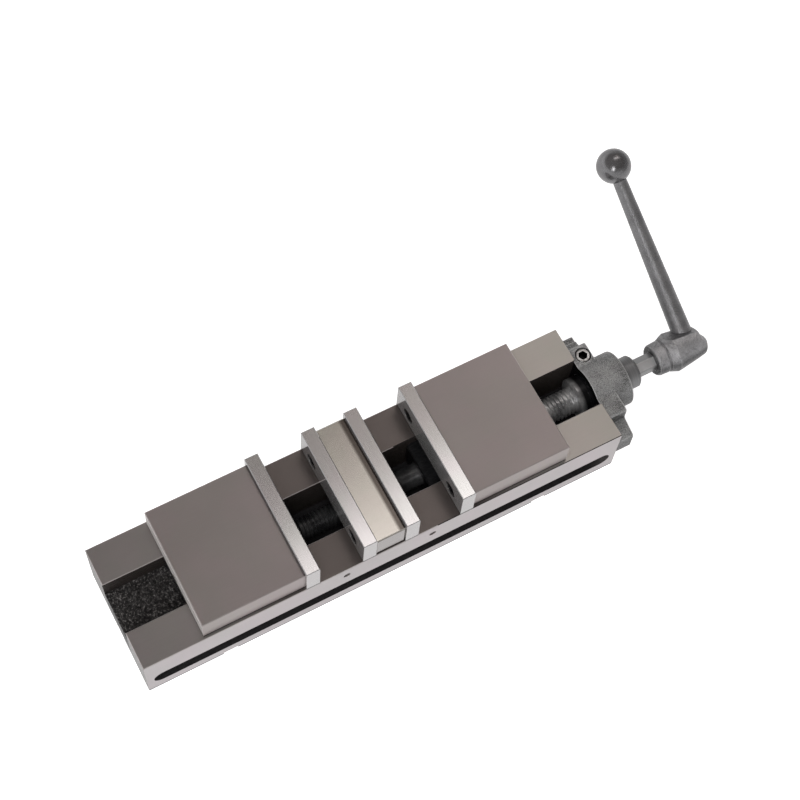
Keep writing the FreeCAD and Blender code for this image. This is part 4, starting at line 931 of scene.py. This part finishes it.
def casting(node, name, body, slot, voxel=0.7 * MM, rough=0.16 * MM, surface=None, form=None, recess=None):
    """A CAD solid with its edges softened and its skin made uneven, as sand casting leaves it.

    recess is the radius, bottom and top of a milled recess, which is cut again after the softening.
    """
    source = frame["nodes"][node]
    mesh = source.data.copy()
    work = bpy.data.objects.new(name, mesh)
    bpy.context.collection.objects.link(work)
    if recess is not None:
        radius, bottom, top = recess
        combined(work, round_plug(radius + RECESS_SPARE, bottom, top), "UNION")
    remesh = work.modifiers.new("remesh", "REMESH")
    remesh.mode = "VOXEL"
    remesh.voxel_size = voxel
    smooth = work.modifiers.new("smooth", "SMOOTH")
    smooth.factor = SMOOTHING
    smooth.iterations = SMOOTHING_TURNS
    graph = bpy.context.evaluated_depsgraph_get()
    result = bpy.data.meshes.new_from_object(work.evaluated_get(graph))
    bpy.data.objects.remove(work)
    result.name = name
    if form is not None:
        form(result)
    normals = [vertex.normal.copy() for vertex in result.vertices]
    for vertex, normal in zip(result.vertices, normals):
        coarse = noise.noise(vertex.co * SKIN_COARSE)
        fine = noise.noise(vertex.co * SKIN_FINE)
        vertex.co += normal * rough * (0.6 * coarse + 0.4 * fine - 0.5)
    if recess is not None:
        work = bpy.data.objects.new(name, result)
        bpy.context.collection.objects.link(work)
        combined(work, round_plug(radius, bottom, top + RECESS_OVERCUT), "DIFFERENCE")
        result = work.data
        bpy.data.objects.remove(work)
    piece = add_piece(name, result, body, slot, surface or SURFACES[slot], node)
    if recess is None:
        result.shade_smooth()
    else:
        sharpen(piece, 50)


def add_castings():
    lug_top = PINCH_HIGH[2] + PINCH_RECESS
    casting("screw_bracket", "bracket_casting", "frame", "cast_grey",
            recess=(PINCH_RECESS_RADIUS, lug_top - PINCH_RECESS - PINCH_HEAD_HEIGHT, lug_top))
    casting("handle_hub", "hub_casting", "handle", "handle_iron", 0.6 * MM, surface=HUB_IRON, form=hub_form)
    casting("handle_lever", "lever_casting", "handle", "handle_iron")
    casting("handle_ball", "ball_casting", "handle", "handle_iron", rough=0.10 * MM, surface=BALL_IRON)


LEDGE_LENGTH = 80 * MM
LEDGE_DROP = 28.4 * MM
SKIN_INSET = 0.15 * MM
SKIN_LIFT = 0.1 * MM
SKIN_CELL = 0.5 * MM
SKIN_HEIGHT = 2.6 * MM
SKIN_SEED = 3.0
LUMPS_COARSE, LUMPS_FINE = 330, 820


def add_ledge_skin():
    """A patch of lumpy casting that lies on the ledge, its rim level with the ledge's face."""
    bed_low, bed_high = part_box("bed")
    low = bed_low[0] + SKIN_INSET, -HALF_CHANNEL + SKIN_INSET
    high = bed_low[0] + LEDGE_LENGTH - SKIN_INSET, HALF_CHANNEL - SKIN_INSET
    base = bed_high[2] - LEDGE_DROP + SKIN_LIFT
    nx, ny = (round((high[axis] - low[axis]) / SKIN_CELL) for axis in (0, 1))
    points = []
    for row in range(nx + 1):
        x = low[0] + (high[0] - low[0]) * row / nx
        for column in range(ny + 1):
            y = low[1] + (high[1] - low[1]) * column / ny
            spot = Vector((x, y, SKIN_SEED))
            lump = noise.noise(spot * LUMPS_COARSE) * 0.45 + noise.noise(spot * LUMPS_FINE) * 0.55
            lump = max(0.0, lump + 0.25)
            rim = min(1.0, (x - low[0]) / SKIN_CELL, (high[0] - x) / SKIN_CELL,
                      (y - low[1]) / SKIN_CELL, (high[1] - y) / SKIN_CELL)
            points.append((x, y, base + SKIN_HEIGHT * lump * max(0.0, rim)))
    faces = []
    for row in range(nx):
        for column in range(ny):
            a = row * (ny + 1) + column
            b = a + ny + 1
            faces.append((a, b, b + 1, a + 1))
    mesh = bpy.data.meshes.new("ledge_skin")
    mesh.from_pydata(points, [], faces)
    mesh.shade_smooth()
    add_piece("ledge_skin", mesh, "frame", "bed_iron", ledge_surface())


add_camera()
add_world()
add_floor()
add_lights()

dress_nodes()
add_spindle()
add_pinch_screw()
add_castings()
add_ledge_skin()

bpy.context.scene.view_settings.view_transform = "Standard"
